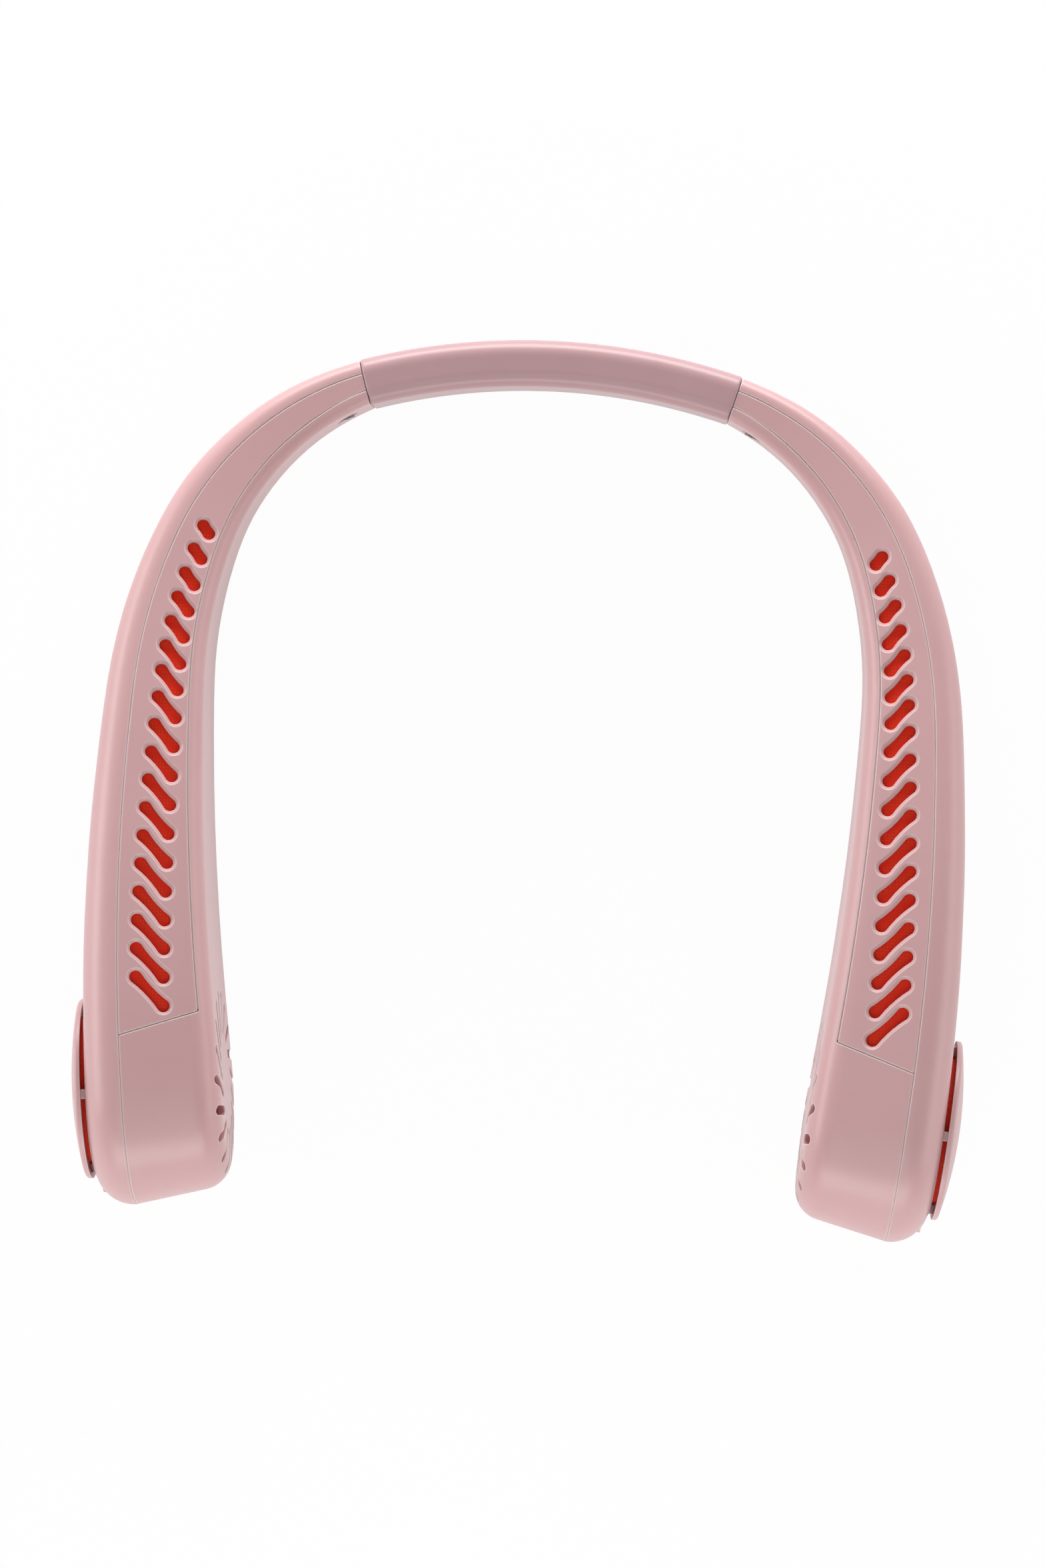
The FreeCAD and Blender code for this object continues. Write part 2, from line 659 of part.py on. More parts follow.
# Intake cap: a turned shallow dome on four legs
cap = new_body("right_intake_cap", AXIS)
cap_sketch = outline(cap, "cap_profile", "XZ_Plane", (
    ("0", "- ( cap_gap + cap_rim + cap_rise - cap_skin )"),
    ("0", "- ( cap_gap + cap_rim + cap_rise )"),
    ("cap_radius", "- ( cap_gap + cap_rim )"),
    ("cap_radius", "- cap_gap"),
    ("cap_radius - cap_skin", "- cap_gap"),
    ("cap_radius - cap_skin", "- ( cap_gap + cap_rim )")))
for chord in (1, 5):
    line = cap_sketch.Geometry[chord]
    span = max(abs(line.StartPoint.x), abs(line.EndPoint.x))
    rise = size("cap_rise") - (0 if chord == 1 else size("cap_skin"))
    centre = (span * span - rise * rise) / (2 * rise)
    tip_y = min(line.StartPoint.y, line.EndPoint.y)
    hub = Vector(0, tip_y + rise + centre, 0)
    radius = centre + rise
    swing = math.asin(span / radius)
    bow = Part.ArcOfCircle(Part.Circle(hub, Vector(0, 0, 1), radius), -math.pi / 2, -math.pi / 2 + swing)
    near, far = (1, 2) if chord == 1 else (2, 1)
    place = cap_sketch.addGeometry(bow, False)
    cap_sketch.addConstraint(Sketcher.Constraint("Coincident", place, 1, chord, near))
    cap_sketch.addConstraint(Sketcher.Constraint("Coincident", place, 2, chord, far))
    cap_sketch.addConstraint(Sketcher.Constraint("PointOnObject", place, 3, -2))
    cap_sketch.toggleConstruction(chord)
cap_dome = cap.newObject("PartDesign::Revolution", "cap_dome")
cap_dome.Profile = cap_sketch
cap_dome.ReferenceAxis = (cap_sketch, ["V_Axis"])
cap_dome.Angle = 360
doc.recompute()


def circles_at(shape, radius, height):
    """Names of a turned piece's round edges with a radius and a height."""
    found = []
    for number, ring in enumerate(shape.Edges, 1):
        if ring.Degenerated or not isinstance(ring.Curve, Part.Circle):
            continue
        if abs(ring.Curve.Radius - radius) < 0.01:
            if abs(ring.Curve.Center.z - height) < 0.01:
                found.append("Edge%d" % number)
    return found


rim_edges = circles_at(cap_dome.Shape, size("cap_radius"), -size("cap_gap") - size("cap_rim"))
cap_round = cap.newObject("PartDesign::Fillet", "cap_round")
cap_round.Base = (cap_dome, rim_edges)
cap_round.setExpression("Radius", "Sizes.cap_edge")
leg = raise_profile(cap, "cap_leg", (
    ("- leg_width / 2", "- ( seat_radius - leg_inset )"),
    ("leg_width / 2", "- ( seat_radius - leg_inset )"),
    ("leg_width / 2", "- ( seat_radius - leg_inset - leg_width )"),
    ("- leg_width / 2", "- ( seat_radius - leg_inset - leg_width )")),
    "leg_peg + cap_gap + cap_rim + 0.3", "leg_peg", reverse=True)
round_pattern(cap, "cap_legs", leg, "leg_count")
mirrored(cap)

# Intake mesh: a ring of dust mesh standing between the seat and the cap
intake_mesh = new_body("right_intake_mesh", AXIS)
turn_profile(intake_mesh, "intake_ring", (
    ("intake_radius + 0.6", "- mesh_gap"),
    ("intake_radius + 0.6 + mesh_thick", "- mesh_gap"),
    ("intake_radius + 0.6 + mesh_thick", "- ( cap_gap + cap_rim - mesh_gap )"),
    ("intake_radius + 0.6", "- ( cap_gap + cap_rim - mesh_gap )")))
mirrored(intake_mesh)

# Neck-side mesh: a dished ring of dust mesh behind the swirl slits
NECK_FACE = "blower_thick - wall - neck_gap"
neck_mesh = new_body("right_neck_mesh", AXIS)
turn_profile(neck_mesh, "neck_dish", (
    ("slit_inner - 2", NECK_FACE + " - mesh_thick"),
    ("slit_inner - 2", NECK_FACE),
    ("slit_outer - 4", NECK_FACE),
    ("slit_outer - 1.6", NECK_FACE + " - 0.9"),
    ("slit_outer + 0.2", NECK_FACE + " - 2.6"),
    ("slit_outer + 0.2 - mesh_thick", NECK_FACE + " - 3"),
    ("slit_outer - 2 - mesh_thick / 2", NECK_FACE + " - 1.2 - mesh_thick / 2"),
    ("slit_outer - 4.2", NECK_FACE + " - mesh_thick")))
mirrored(neck_mesh)

# Impeller: hub cup, web, swept blades and two end rings
TOP = "( wall + impeller_gap )"
BACK = "( wall + impeller_gap + impeller_length )"
HUB = "( rotor_radius + fit_gap + hub_wall )"
impeller = new_body("right_impeller", AXIS)
turn_profile(impeller, "hub", (
    ("shaft_radius + 0.01", TOP + " + 1"),
    (HUB + " - 1", TOP + " + 1"),
    (HUB, TOP + " + 2"),
    (HUB, TOP + " + impeller_length / 2 - web_thick / 2"),
    ("impeller_radius - 0.3", TOP + " + impeller_length / 2 - web_thick / 2"),
    ("impeller_radius - 0.3", TOP + " + impeller_length / 2 + web_thick / 2"),
    (HUB, TOP + " + impeller_length / 2 + web_thick / 2"),
    (HUB, BACK),
    (HUB + " - hub_wall", BACK),
    (HUB + " - hub_wall", TOP + " + 1 + hub_wall"),
    ("shaft_radius + 0.01", TOP + " + 1 + hub_wall")))
blade = raise_profile(impeller, "blade", (
    ("impeller_radius - 0.2 - blade_depth", "- blade_thick / 2"),
    ("impeller_radius - 0.2 - blade_depth / 2", "blade_sweep / 3 - blade_thick / 2"),
    ("impeller_radius - 0.2", "blade_sweep - blade_thick / 2"),
    ("impeller_radius - 0.2", "blade_sweep + blade_thick / 2"),
    ("impeller_radius - 0.2 - blade_depth / 2", "blade_sweep / 3 + blade_thick / 2"),
    ("impeller_radius - 0.2 - blade_depth", "blade_thick / 2")),
    "impeller_length", TOP)
round_pattern(impeller, "blades", blade, "blade_count")
for name, low in (("front_ring", TOP), ("back_ring", BACK + " - ring_thick")):
    turn_profile(impeller, name, (
        ("impeller_radius - ring_width", low),
        ("impeller_radius", low),
        ("impeller_radius", low + " + ring_thick"),
        ("impeller_radius - ring_width", low + " + ring_thick")))
mirrored(impeller)

# Motor: rotor cup and shaft turn with the impeller, stator and bearing stay with the housing
FLOOR = "( wall + impeller_gap + impeller_length + impeller_gap )"
rotor = new_body("right_motor_rotor", AXIS)
turn_profile(rotor, "cup", (
    ("shaft_radius + 0.01", TOP + " + 1 + hub_wall + 0.05"),
    ("rotor_radius", TOP + " + 1 + hub_wall + 0.05"),
    ("rotor_radius", BACK),
    ("rotor_radius - rotor_wall", BACK),
    ("rotor_radius - rotor_wall", TOP + " + 1 + hub_wall + 0.05 + rotor_wall"),
    ("shaft_radius + 0.01", TOP + " + 1 + hub_wall + 0.05 + rotor_wall")))
mirrored(rotor)
shaft = new_body("right_motor_shaft", AXIS)
turn_profile(shaft, "pin", (
    ("0", TOP + " + 1"),
    ("shaft_radius", TOP + " + 1"),
    ("shaft_radius", FLOOR + " - 0.2"),
    ("0", FLOOR + " - 0.2")))
mirrored(shaft)
LIP = "( wall + impeller_gap + 2 + hub_wall + rotor_wall )"
bush = new_body("right_motor_bearing", AXIS)
turn_profile(bush, "bush", (
    ("shaft_radius + shaft_gap", LIP + " + 0.4"),
    ("shaft_radius + bush_wall", LIP + " + 0.4"),
    ("shaft_radius + bush_wall", FLOOR),
    ("shaft_radius + shaft_gap", FLOOR)))
mirrored(bush)
TUBE = "( shaft_radius + bush_wall + 0.02 + tube_wall )"
TEETH = "( rotor_radius - rotor_wall - rotor_gap )"
stator = new_body("right_motor_stator", AXIS)
turn_profile(stator, "yoke", (
    (TUBE + " + 0.02", LIP + " + 1"),
    (TUBE + " + 1.2", LIP + " + 1"),
    (TUBE + " + 1.2", FLOOR + " - 1.2"),
    (TUBE + " + 0.02", FLOOR + " - 1.2")))
tooth = raise_profile(stator, "tooth", (
    (TUBE + " + 0.6", "- tooth_width / 2"),
    (TEETH + " - 0.9", "- tooth_width / 2"),
    (TEETH + " - 0.9", "- tooth_width"),
    (TEETH + " - 0.3", "- tooth_width"),
    (TEETH + " - 0.3", "tooth_width"),
    (TEETH + " - 0.9", "tooth_width"),
    (TEETH + " - 0.9", "tooth_width / 2"),
    (TUBE + " + 0.6", "tooth_width / 2")),
    FLOOR + " - 1.2 - " + LIP + " - 1", LIP + " + 1")
round_pattern(stator, "teeth", tooth, "tooth_count")
mirrored(stator)

# Blower housing: ring wall with an outlet to the arm, spoked floor, bearing tube and screw ears
RING = "( impeller_radius + housing_gap )"
housing = new_body("right_blower_housing", AXIS)
turn_profile(housing, "ring_wall", (
    ("shaft_radius + bush_wall + 0.02", LIP + " + 0.4"),
    (TUBE, LIP + " + 0.4"),
    (TUBE, FLOOR),
    (RING, FLOOR),
    (RING, "wall + 0.4"),
    (RING + " + housing_wall", "wall + 0.4"),
    (RING + " + housing_wall", FLOOR + " + housing_floor"),
    ("0", FLOOR + " + housing_floor"),
    ("0", FLOOR),
    ("shaft_radius + bush_wall + 0.02", FLOOR)))
ear = raise_profile(housing, "ear", (
    ("- ( ear_reach + ear_radius )", "- ear_radius"),
    ("- ( " + RING + " + 0.3 )", "- ear_radius"),
    ("- ( " + RING + " + 0.3 )", "ear_radius"),
    ("- ( ear_reach + ear_radius )", "ear_radius")),
    "ear_thick", "wall + boss_height")
ears = [ear]
for name, side in (("ear_left", "62"), ("ear_right", "- 62")):
    spread = "( ear_reach + ear_radius )"
    foot_at = "( " + RING + " + 0.3 )"
    points = []
    for reach, off in ((spread, "- ear_radius"), (spread, "ear_radius"),
                       (foot_at, "ear_radius"), (foot_at, "- ear_radius")):
        points.append((reach + " * cos( " + side + " ) - ( " + off + " ) * sin( " + side + " )",
                       reach + " * sin( " + side + " ) + ( " + off + " ) * cos( " + side + " )"))
    raise_profile(housing, name, points, "ear_thick", "wall + boss_height")
raise_profile(housing, "outlet", (
    ("impeller_radius * 0.5", "- window_width / 2"),
    ("impeller_radius + 12", "- window_width / 2"),
    ("impeller_radius + 12", "window_width / 2"),
    ("impeller_radius * 0.5", "window_width / 2")),
    FLOOR + " - wall - boss_height - ear_thick", "wall + boss_height + ear_thick",
    "PartDesign::Pocket", True)
vent = raise_profile(housing, "vent", (
    ("rotor_radius + 1.6", "- 3.4"),
    (RING + " - 1.2", "- 6"),
    (RING + " - 1.2", "6"),
    ("rotor_radius + 1.6", "3.4")),
    "housing_floor + 2", FLOOR + " - 1", "PartDesign::Pocket", True)
round_pattern(housing, "vents", vent, "5")
doc.recompute()
ear_top = boss_top + size("ear_thick")
ear_holes = Part.makeCompound([drum(spot, hole, 0, ear_top + 0.5) for spot in EARS])
hole_tool = add("ear_holes", ear_holes)
housing.Label = "housing_body"
drilled = doc.addObject("Part::Cut", "right_blower_housing_drilled")
drilled.Base = housing
drilled.Tool = hole_tool
drilled.Label = "right_blower_housing"
mirrored(drilled)


# Fasteners: pan heads with a cross recess, one node for each set
def screws(label, spots, head_at, length):
    made = []
    for spot in spots:
        head = size("screw_head")
        top = head_at + size("head_height")
        body = drum(spot, size("screw_radius"), head_at - length, head_at + 0.2)
        body = body.fuse(drum(spot, head, head_at + 0.02, top))
        bar = head * 0.6
        cross = [block(spot, -bar, bar, -0.2, 0.2, top - 0.5, top + 1),
                 block(spot, -0.2, 0.2, -bar, bar, top - 0.5, top + 1)]
        made.append(body.cut(cross))
    return add(label, Part.makeCompound(made))


mirrored(screws("right_housing_screws", EARS, ear_top, size("screw_length")))
mirrored(screws("right_clamp_screw", [CLAMP], -size("recess_depth"), size("clamp_length")))
screws("board_screws", BOARD_SCREWS, size("board_thick"), size("screw_length"))

# Battery: a flat rounded cell in the ribs
battery = new_body("right_battery", BATTERY)
cell = raise_profile(battery, "cell", (
    ("- battery_length / 2", "- ( battery_floor + battery_width )"),
    ("battery_length / 2", "- ( battery_floor + battery_width )"),
    ("battery_length / 2", "- battery_floor"),
    ("- battery_length / 2", "- battery_floor")), "battery_thick", "0.02")
doc.recompute()
cell_round = battery.newObject("PartDesign::Fillet", "cell_round")
cell_round.Base = (cell, ["Edge%d" % (k + 1) for k in range(len(cell.Shape.Edges))])
cell_round.setExpression("Radius", "Sizes.battery_edge")
mirrored(battery)

# Main board with its port, switch, button and indicator
board = new_body("main_board", BOARD)
raise_profile(board, "sheet", (
    ("- board_length / 2", "- ( board_floor + board_width )"),
    ("board_length / 2", "- ( board_floor + board_width )"),
    ("board_length / 2", "- board_floor"),
    ("- board_length / 2", "- board_floor")), "board_thick", "0.02")
for name, side in (("hole_up", "1"), ("hole_down", "- 1")):
    middle = side + " * ( board_length / 2 - 2.6 )"
    ring = "( screw_radius + screw_gap )"
    level = "- ( board_floor + board_width - 2.6 )"
    raise_profile(board, name, tuple(
        (middle + " + " + ring + " * cos( %d ) * 1.04" % angle,
         level + " + " + ring + " * sin( %d ) * 1.04" % angle) for angle in range(0, 360, 30)),
        "board_thick + 1", "- 0.5", "PartDesign::Pocket", True)
port_body = pill_bar(Placement(), size("port_width"), size("port_thick"), 0.1, size("port_depth"))
lip_wall = size("port_wall")
port_room = pill_bar(Placement(), size("port_width") - 2 * lip_wall, size("port_thick") - 2 * lip_wall,
                     -1, size("port_depth") - 1)
blade_low = block(Placement(), -size("port_width") / 3, size("port_width") / 3, -0.35, 0.35,
                  1, size("port_depth") - 0.5)
port_shape = port_body.cut(port_room).fuse(blade_low)
add("usb_port", port_shape.transformGeometry(DOWN.toMatrix()))
button_level = board_low + size("board_width") * 0.55
SWITCH = BOARD.multiply(Placement(Vector(size("button_shift"), -button_level, -0.03), Rotation()))
switch = new_body("tact_switch", SWITCH)
raise_profile(switch, "case", (
    ("- switch_side / 2", "- switch_side / 2"),
    ("switch_side / 2", "- switch_side / 2"),
    ("switch_side / 2", "switch_side / 2"),
    ("- switch_side / 2", "switch_side / 2")), "switch_height", "0", reverse=True)
raise_profile(switch, "plunger", (
    ("- stem_radius", "- stem_radius"),
    ("stem_radius", "- stem_radius"),
    ("stem_radius", "stem_radius"),
    ("- stem_radius", "stem_radius")), "switch_height + plunger_rise", "0", reverse=True)
STEM_END = "board_inset - switch_height - plunger_rise - stem_gap - button_travel"
button = new_body("power_button", BUTTON)
turn_profile(button, "knob", (
    ("0", "0.35"),
    ("button_radius * 0.6", "0.25"),
    ("button_radius - 0.3", "0.04"),
    ("button_radius", "0.3"),
    ("button_radius", "wall + fit_gap"),
    ("button_radius + button_flange", "wall + fit_gap"),
    ("button_radius + button_flange", "wall + fit_gap + button_flange"),
    ("stem_radius", "wall + fit_gap + button_flange"),
    ("stem_radius", STEM_END),
    ("0", STEM_END)))
lens_shape = pill_bar(LENS, size("lens_length"), size("lens_width"), 0.05, wall + 1)
lens_foot = pill_bar(LENS, size("lens_length") + 2, size("lens_width") + 2, wall + fit, wall + 1)
add("indicator_lens", lens_shape.fuse(lens_foot))

# Neck band: turned sleeve with a channel, spring strip, link cable and a plug in each arm
MID = size("seam_thick") / 2
CENTRE = Placement(Vector(0, APEX - size("band_radius"), 0), Rotation())
sleeve = new_body("neck_band_sleeve", CENTRE)


def band_turn(body, name, points, angle, kind="PartDesign::Revolution"):
    """Turned about the nape circle's axis, the same to both sides of the apex."""
    profile = outline(body, name + "_profile", "YZ_Plane", points)
    feature = body.newObject(kind, name)
    feature.Profile = profile
    feature.ReferenceAxis = (profile, ["V_Axis"])
    feature.setExpression("Angle", bound(angle))
    feature.Midplane = True
    return feature


TURN = "2 * ( seam_angle - 57.3 * sleeve_gap / band_radius )"
CORE = "( band_radius - seam_thick / 2 )"
sleeve_bar = band_turn(sleeve, "sleeve_bar", (
    ("band_radius - seam_thick - sleeve_proud", "0"),
    ("band_radius + sleeve_proud", "0"),
    ("band_radius + sleeve_proud", "seam_height + sleeve_proud"),
    ("band_radius - seam_thick - sleeve_proud", "seam_height + sleeve_proud")), TURN)
doc.recompute()
long_edges = []
for number, ring in enumerate(sleeve_bar.Shape.Edges, 1):
    if isinstance(ring.Curve, Part.Circle):
        long_edges.append("Edge%d" % number)
sleeve_round = sleeve.newObject("PartDesign::Fillet", "sleeve_round")
sleeve_round.Base = (sleeve_bar, long_edges)
sleeve_round.setExpression("Radius", "Sizes.sleeve_corner")
band_turn(sleeve, "channel", (
    (CORE + " - channel_width / 2", "seam_height / 2 - channel_height / 2"),
    (CORE + " + channel_width / 2", "seam_height / 2 - channel_height / 2"),
    (CORE + " + channel_width / 2", "seam_height / 2 + channel_height / 2"),
    (CORE + " - channel_width / 2", "seam_height / 2 + channel_height / 2")),
    "2 * seam_angle + 2", "PartDesign::Groove")
spring = new_body("band_spring", CENTRE)
STRIP = "( " + CORE + " + channel_width / 2 - 0.6 )"
band_turn(spring, "strip", (
    (STRIP + " - spring_thick", "seam_height / 2 - spring_height / 2"),
    (STRIP, "seam_height / 2 - spring_height / 2"),
    (STRIP, "seam_height / 2 + spring_height / 2"),
    (STRIP + " - spring_thick", "seam_height / 2 + spring_height / 2")),
    "2 * ( seam_angle - 57.3 * 0.6 / band_radius )")

# Link cable: from one battery to the other through the band's channel
CABLE_IN = MID + 0.7
bend_radius = size("upper_radius")
cable_stop = half_battery + 0.3 + 0.3 * size("cable_radius")
cable_end = size("battery_place") - bend_radius * math.asin(cable_stop / (bend_radius - CABLE_IN))
first_bend = size("shoulder_radius") * math.radians(size("shoulder_turn"))
stops = [cable_end, 0.0]
if cable_end > first_bend:
    stops.insert(1, first_bend)
edges = []
for start, end in zip(stops, stops[1:]):
    edges.append(Part.Arc(on_arm(start, CABLE_IN, CLAMP_Z), on_arm((start + end) / 2, CABLE_IN, CLAMP_Z),
                          on_arm(end, CABLE_IN, CLAMP_Z)).toShape())
seam_point = on_arm(0, CABLE_IN, CLAMP_Z)
apex_point = Vector(0, APEX - CABLE_IN, CLAMP_Z)
edges.append(Part.Arc(seam_point, apex_point, Vector(-seam_point.x, seam_point.y, CLAMP_Z)).toShape())
for start, end in zip(stops[::-1], stops[::-1][1:]):
    way = [on_arm(run, CABLE_IN, CLAMP_Z) for run in (start, (start + end) / 2, end)]
    way = [Vector(-point.x, point.y, point.z) for point in way]
    edges.append(Part.Arc(*way).toShape())
route = Part.Wire(edges)
start_way = frame(cable_end, CABLE_IN, CLAMP_Z)
ring = Part.Wire(Part.makeCircle(size("cable_radius"), start_way.Base,
                                 start_way.Rotation.multVec(Vector(1, 0, 0))))
add("link_cable", route.makePipeShell([ring], True, False))

# Band plug: a rigid tongue in the band's channel on a block clamped inside the arm
plug_steps = [0.4 + (size("plug_reach") - 0.4) * k / 4 for k in range(5)]
plug_block = Part.makeLoft([section(run, wall + size("plug_gap")) for run in plug_steps], True)
tongue_angle = math.degrees(size("tongue_reach") / size("band_radius"))
half_wide = size("channel_width") / 2 - fit
half_tall = size("channel_height") / 2 - fit
middle = size("band_radius") - MID
tongue_box = Part.makePolygon([Vector(0, middle + x, CLAMP_Z + z) for x, z in (
    (-half_wide, -half_tall), (half_wide, -half_tall), (half_wide, half_tall),
    (-half_wide, half_tall), (-half_wide, -half_tall))])
tongue = Part.Face(tongue_box).revolve(Vector(0, 0, 0), Vector(0, 0, 1), -tongue_angle - 1)
tongue.rotate(Vector(0, 0, 0), Vector(0, 0, 1), tongue_angle - size("seam_angle"))
tongue.translate(CENTRE.Base)
cable_room = route.makePipeShell([Part.Wire(Part.makeCircle(
    size("cable_radius") + 0.2, start_way.Base, start_way.Rotation.multVec(Vector(1, 0, 0))))], True, False)
strip_low = size("band_radius") - MID + size("channel_width") / 2 - 0.6 - size("spring_thick") - 0.1
strip_room = Part.makePolygon([Vector(0, strip_low + x, CLAMP_Z + z) for x, z in (
    (0, -size("spring_height") / 2 - fit), (size("spring_thick") + 0.2, -size("spring_height") / 2 - fit),
    (size("spring_thick") + 0.2, size("spring_height") / 2 + fit), (0, size("spring_height") / 2 + fit),
    (0, -size("spring_height") / 2 - fit))])
strip_cut = Part.Face(strip_room).revolve(Vector(0, 0, 0), Vector(0, 0, 1), -size("seam_angle"))
strip_cut.translate(CENTRE.Base)
clamp_hole = drum(CLAMP, hole, -size("recess_depth") - size("clamp_length") - 0.2, 0)
plug = plug_block.fuse(tongue).cut([cable_room, strip_cut, clamp_hole])
mirrored(add("right_band_plug", plug))

# Motor lead: from the battery's lower end along the neck side to the motor's seat
floor_back = wall + 2 * size("impeller_gap") + size("impeller_length") + size("housing_floor")
LEAD_Y = 5
lead_start = BATTERY.multVec(Vector(-half_battery - 0.3, -AXIS_Z + LEAD_Y, size("battery_thick") - 0.9))
lead_in = floor_back + size("lead_radius") + 0.15
knee = AXIS.multVec(Vector(size("lead_knee"), LEAD_Y, lead_in))
lead_end = AXIS.multVec(Vector(3, LEAD_Y, lead_in))
bend = corner_points(knee, lead_start, lead_end, size("lead_bend"))
lead_path = ring_of(((lead_start, bend[0]), bend, (bend[2], lead_end)))
lead_ring = Part.Wire(Part.makeCircle(size("lead_radius"), lead_start, bend[0] - lead_start))
mirrored(add("right_motor_lead", lead_path.makePipeShell([lead_ring], True, False)))

doc.recompute()

# Check every piece and write it out
HELPERS = ("housing_body", "ear_holes")
os.makedirs("parts", exist_ok=True)
problems = []
for item in doc.Objects:
    if "Invalid" in item.State or "Error" in item.State:
        problems.append("%s is in error" % item.Label)
pieces = []
for item in doc.Objects:
    if item.TypeId in ("Part::Feature", "PartDesign::Body", "Part::Mirroring", "Part::Cut"):
        if item.Label not in HELPERS:
            pieces.append(item)
for piece in pieces:
    if piece.Shape.isNull() or not piece.Shape.isValid() or piece.Shape.Volume <= 0:
        problems.append("%s has no sound shape" % piece.Label)
if problems:
    raise RuntimeError("; ".join(problems))
for piece in pieces:
    piece.Shape.exportStep("parts/%s.step" % piece.Label)
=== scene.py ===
import math

import bpy
from mathutils import Matrix, Vector


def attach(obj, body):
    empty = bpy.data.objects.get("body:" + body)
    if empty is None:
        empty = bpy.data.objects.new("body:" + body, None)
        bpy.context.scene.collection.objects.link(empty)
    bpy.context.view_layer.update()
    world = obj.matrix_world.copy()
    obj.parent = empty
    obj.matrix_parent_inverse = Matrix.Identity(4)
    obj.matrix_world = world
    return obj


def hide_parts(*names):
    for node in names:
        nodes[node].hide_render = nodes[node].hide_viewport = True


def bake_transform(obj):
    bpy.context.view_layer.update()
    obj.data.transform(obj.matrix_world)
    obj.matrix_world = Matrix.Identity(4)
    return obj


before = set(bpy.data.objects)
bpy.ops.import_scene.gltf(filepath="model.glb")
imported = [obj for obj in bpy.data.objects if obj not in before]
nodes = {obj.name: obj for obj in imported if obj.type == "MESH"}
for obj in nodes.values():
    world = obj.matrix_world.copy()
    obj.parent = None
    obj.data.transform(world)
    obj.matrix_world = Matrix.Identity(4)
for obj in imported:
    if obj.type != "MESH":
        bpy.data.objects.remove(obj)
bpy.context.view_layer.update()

# Neck band sleeve: the soft tube that lies on the nape, moulded in one piece from an elastomer.
# It is pushed over a plug in each arm. Its two halves are drawn apart, one for each arm.
MM = 0.001
ARMS = (("right_arm", 1), ("left_arm", -1))
BAND_BEND = 146
NAPE_CENTRE = Vector((0, -50.49, 0)) * MM
SEAM = 16.6
SEAM_ANGLE = math.radians(SEAM)
SLEEVE_INNER = 136.2 * MM
SLEEVE_OUTER = 146.3 * MM
SLEEVE_HEIGHT = 24.3 * MM
SLEEVE_CORNER = 3.4 * MM
SLEEVE_LIP = 0.6 * MM
SEAM_GAP = 0.1 * MM
CHANNEL_INNER = 138.75 * MM
CHANNEL_OUTER = 143.75 * MM
CHANNEL_LOW = 4 * MM
CHANNEL_HIGH = 20 * MM
CHANNEL_CORNER = 0.4 * MM
FLAT_LOOPS = (0.08, 0.5, 0.92)
CORNER_STEPS = 10
BAND_STEPS = 40
LIP_STEPS = 6
CHANNEL_STEPS = 20


def rounded_profile(inner, outer, low, high, corner, steps):
    """Points (radius, height) round a section with rounded corners, with loops along its flat sides."""
    points = []
    middles = ((outer - corner, low + corner, -90), (outer - corner, high - corner, 0),
               (inner + corner, high - corner, 90), (inner + corner, low + corner, 180))
    for index, (radius, height, start) in enumerate(middles):
        for step in range(steps + 1):
            angle = math.radians(start + 90 * step / steps)
            points.append((radius + corner * math.cos(angle), height + corner * math.sin(angle)))
        after = middles[(index + 1) % 4]
        turn = math.radians(after[2])
        target = (after[0] + corner * math.cos(turn), after[1] + corner * math.sin(turn))
        last = points[-1]
        for share in FLAT_LOOPS:
            points.append(tuple(a + (b - a) * share for a, b in zip(last, target)))
    return points


def on_nape(radius, height, angle, side):
    """Point of the band, at an angle from its middle towards one arm."""
    return NAPE_CENTRE + Vector((side * radius * math.sin(angle), radius * math.cos(angle), height))


def skin(name, rings, flip):
    """Smooth mesh over rings of points, each ring joined to the next."""
    count = len(rings[0])
    vertices = [point for ring in rings for point in ring]
    faces = []
    for row in range(len(rings) - 1):
        for k in range(count):
            here, after = row * count + k, row * count + (k + 1) % count
            face = (here, after, after + count, here + count)
            faces.append(face[::-1] if flip else face)
    mesh = bpy.data.meshes.new(name)
    mesh.from_pydata(vertices, [], faces)
    mesh.shade_smooth()
    piece = bpy.data.objects.new(name, mesh)
    bpy.context.scene.collection.objects.link(piece)
    return piece


def bends_with(piece):
    """Bakes the piece's placement into its mesh."""
    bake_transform(piece)


def linear(code):
    """Linear colour of an sRGB hex value."""
    parts = [int(code[k:k + 2], 16) / 255 for k in (1, 3, 5)]
    return tuple(c / 12.92 if c <= 0.04045 else ((c + 0.055) / 1.055) ** 2.4 for c in parts) + (1.0,)


def add(tree, kind, settings=None, links=None):
    """Shader node with its settings and, by input, the outputs that feed it."""
    node = tree.nodes.new(kind)
    for name, value in (settings or {}).items():
        if isinstance(name, int) or name in node.inputs:
            node.inputs[name].default_value = value
        else:
            setattr(node, name, value)
    for name, output in (links or {}).items():
        tree.links.new(output, node.inputs[name])
    return node


def material(name, settings):
    """Empty material with a surface shader, its node tree and the shader."""
    made = bpy.data.materials.new(name)
    made.use_nodes = True
    tree = made.node_tree
    tree.nodes.clear()
    shader = add(tree, "ShaderNodeBsdfPrincipled", settings)
    add(tree, "ShaderNodeOutputMaterial", None, {"Surface": shader.outputs["BSDF"]})
    return made, tree, shader


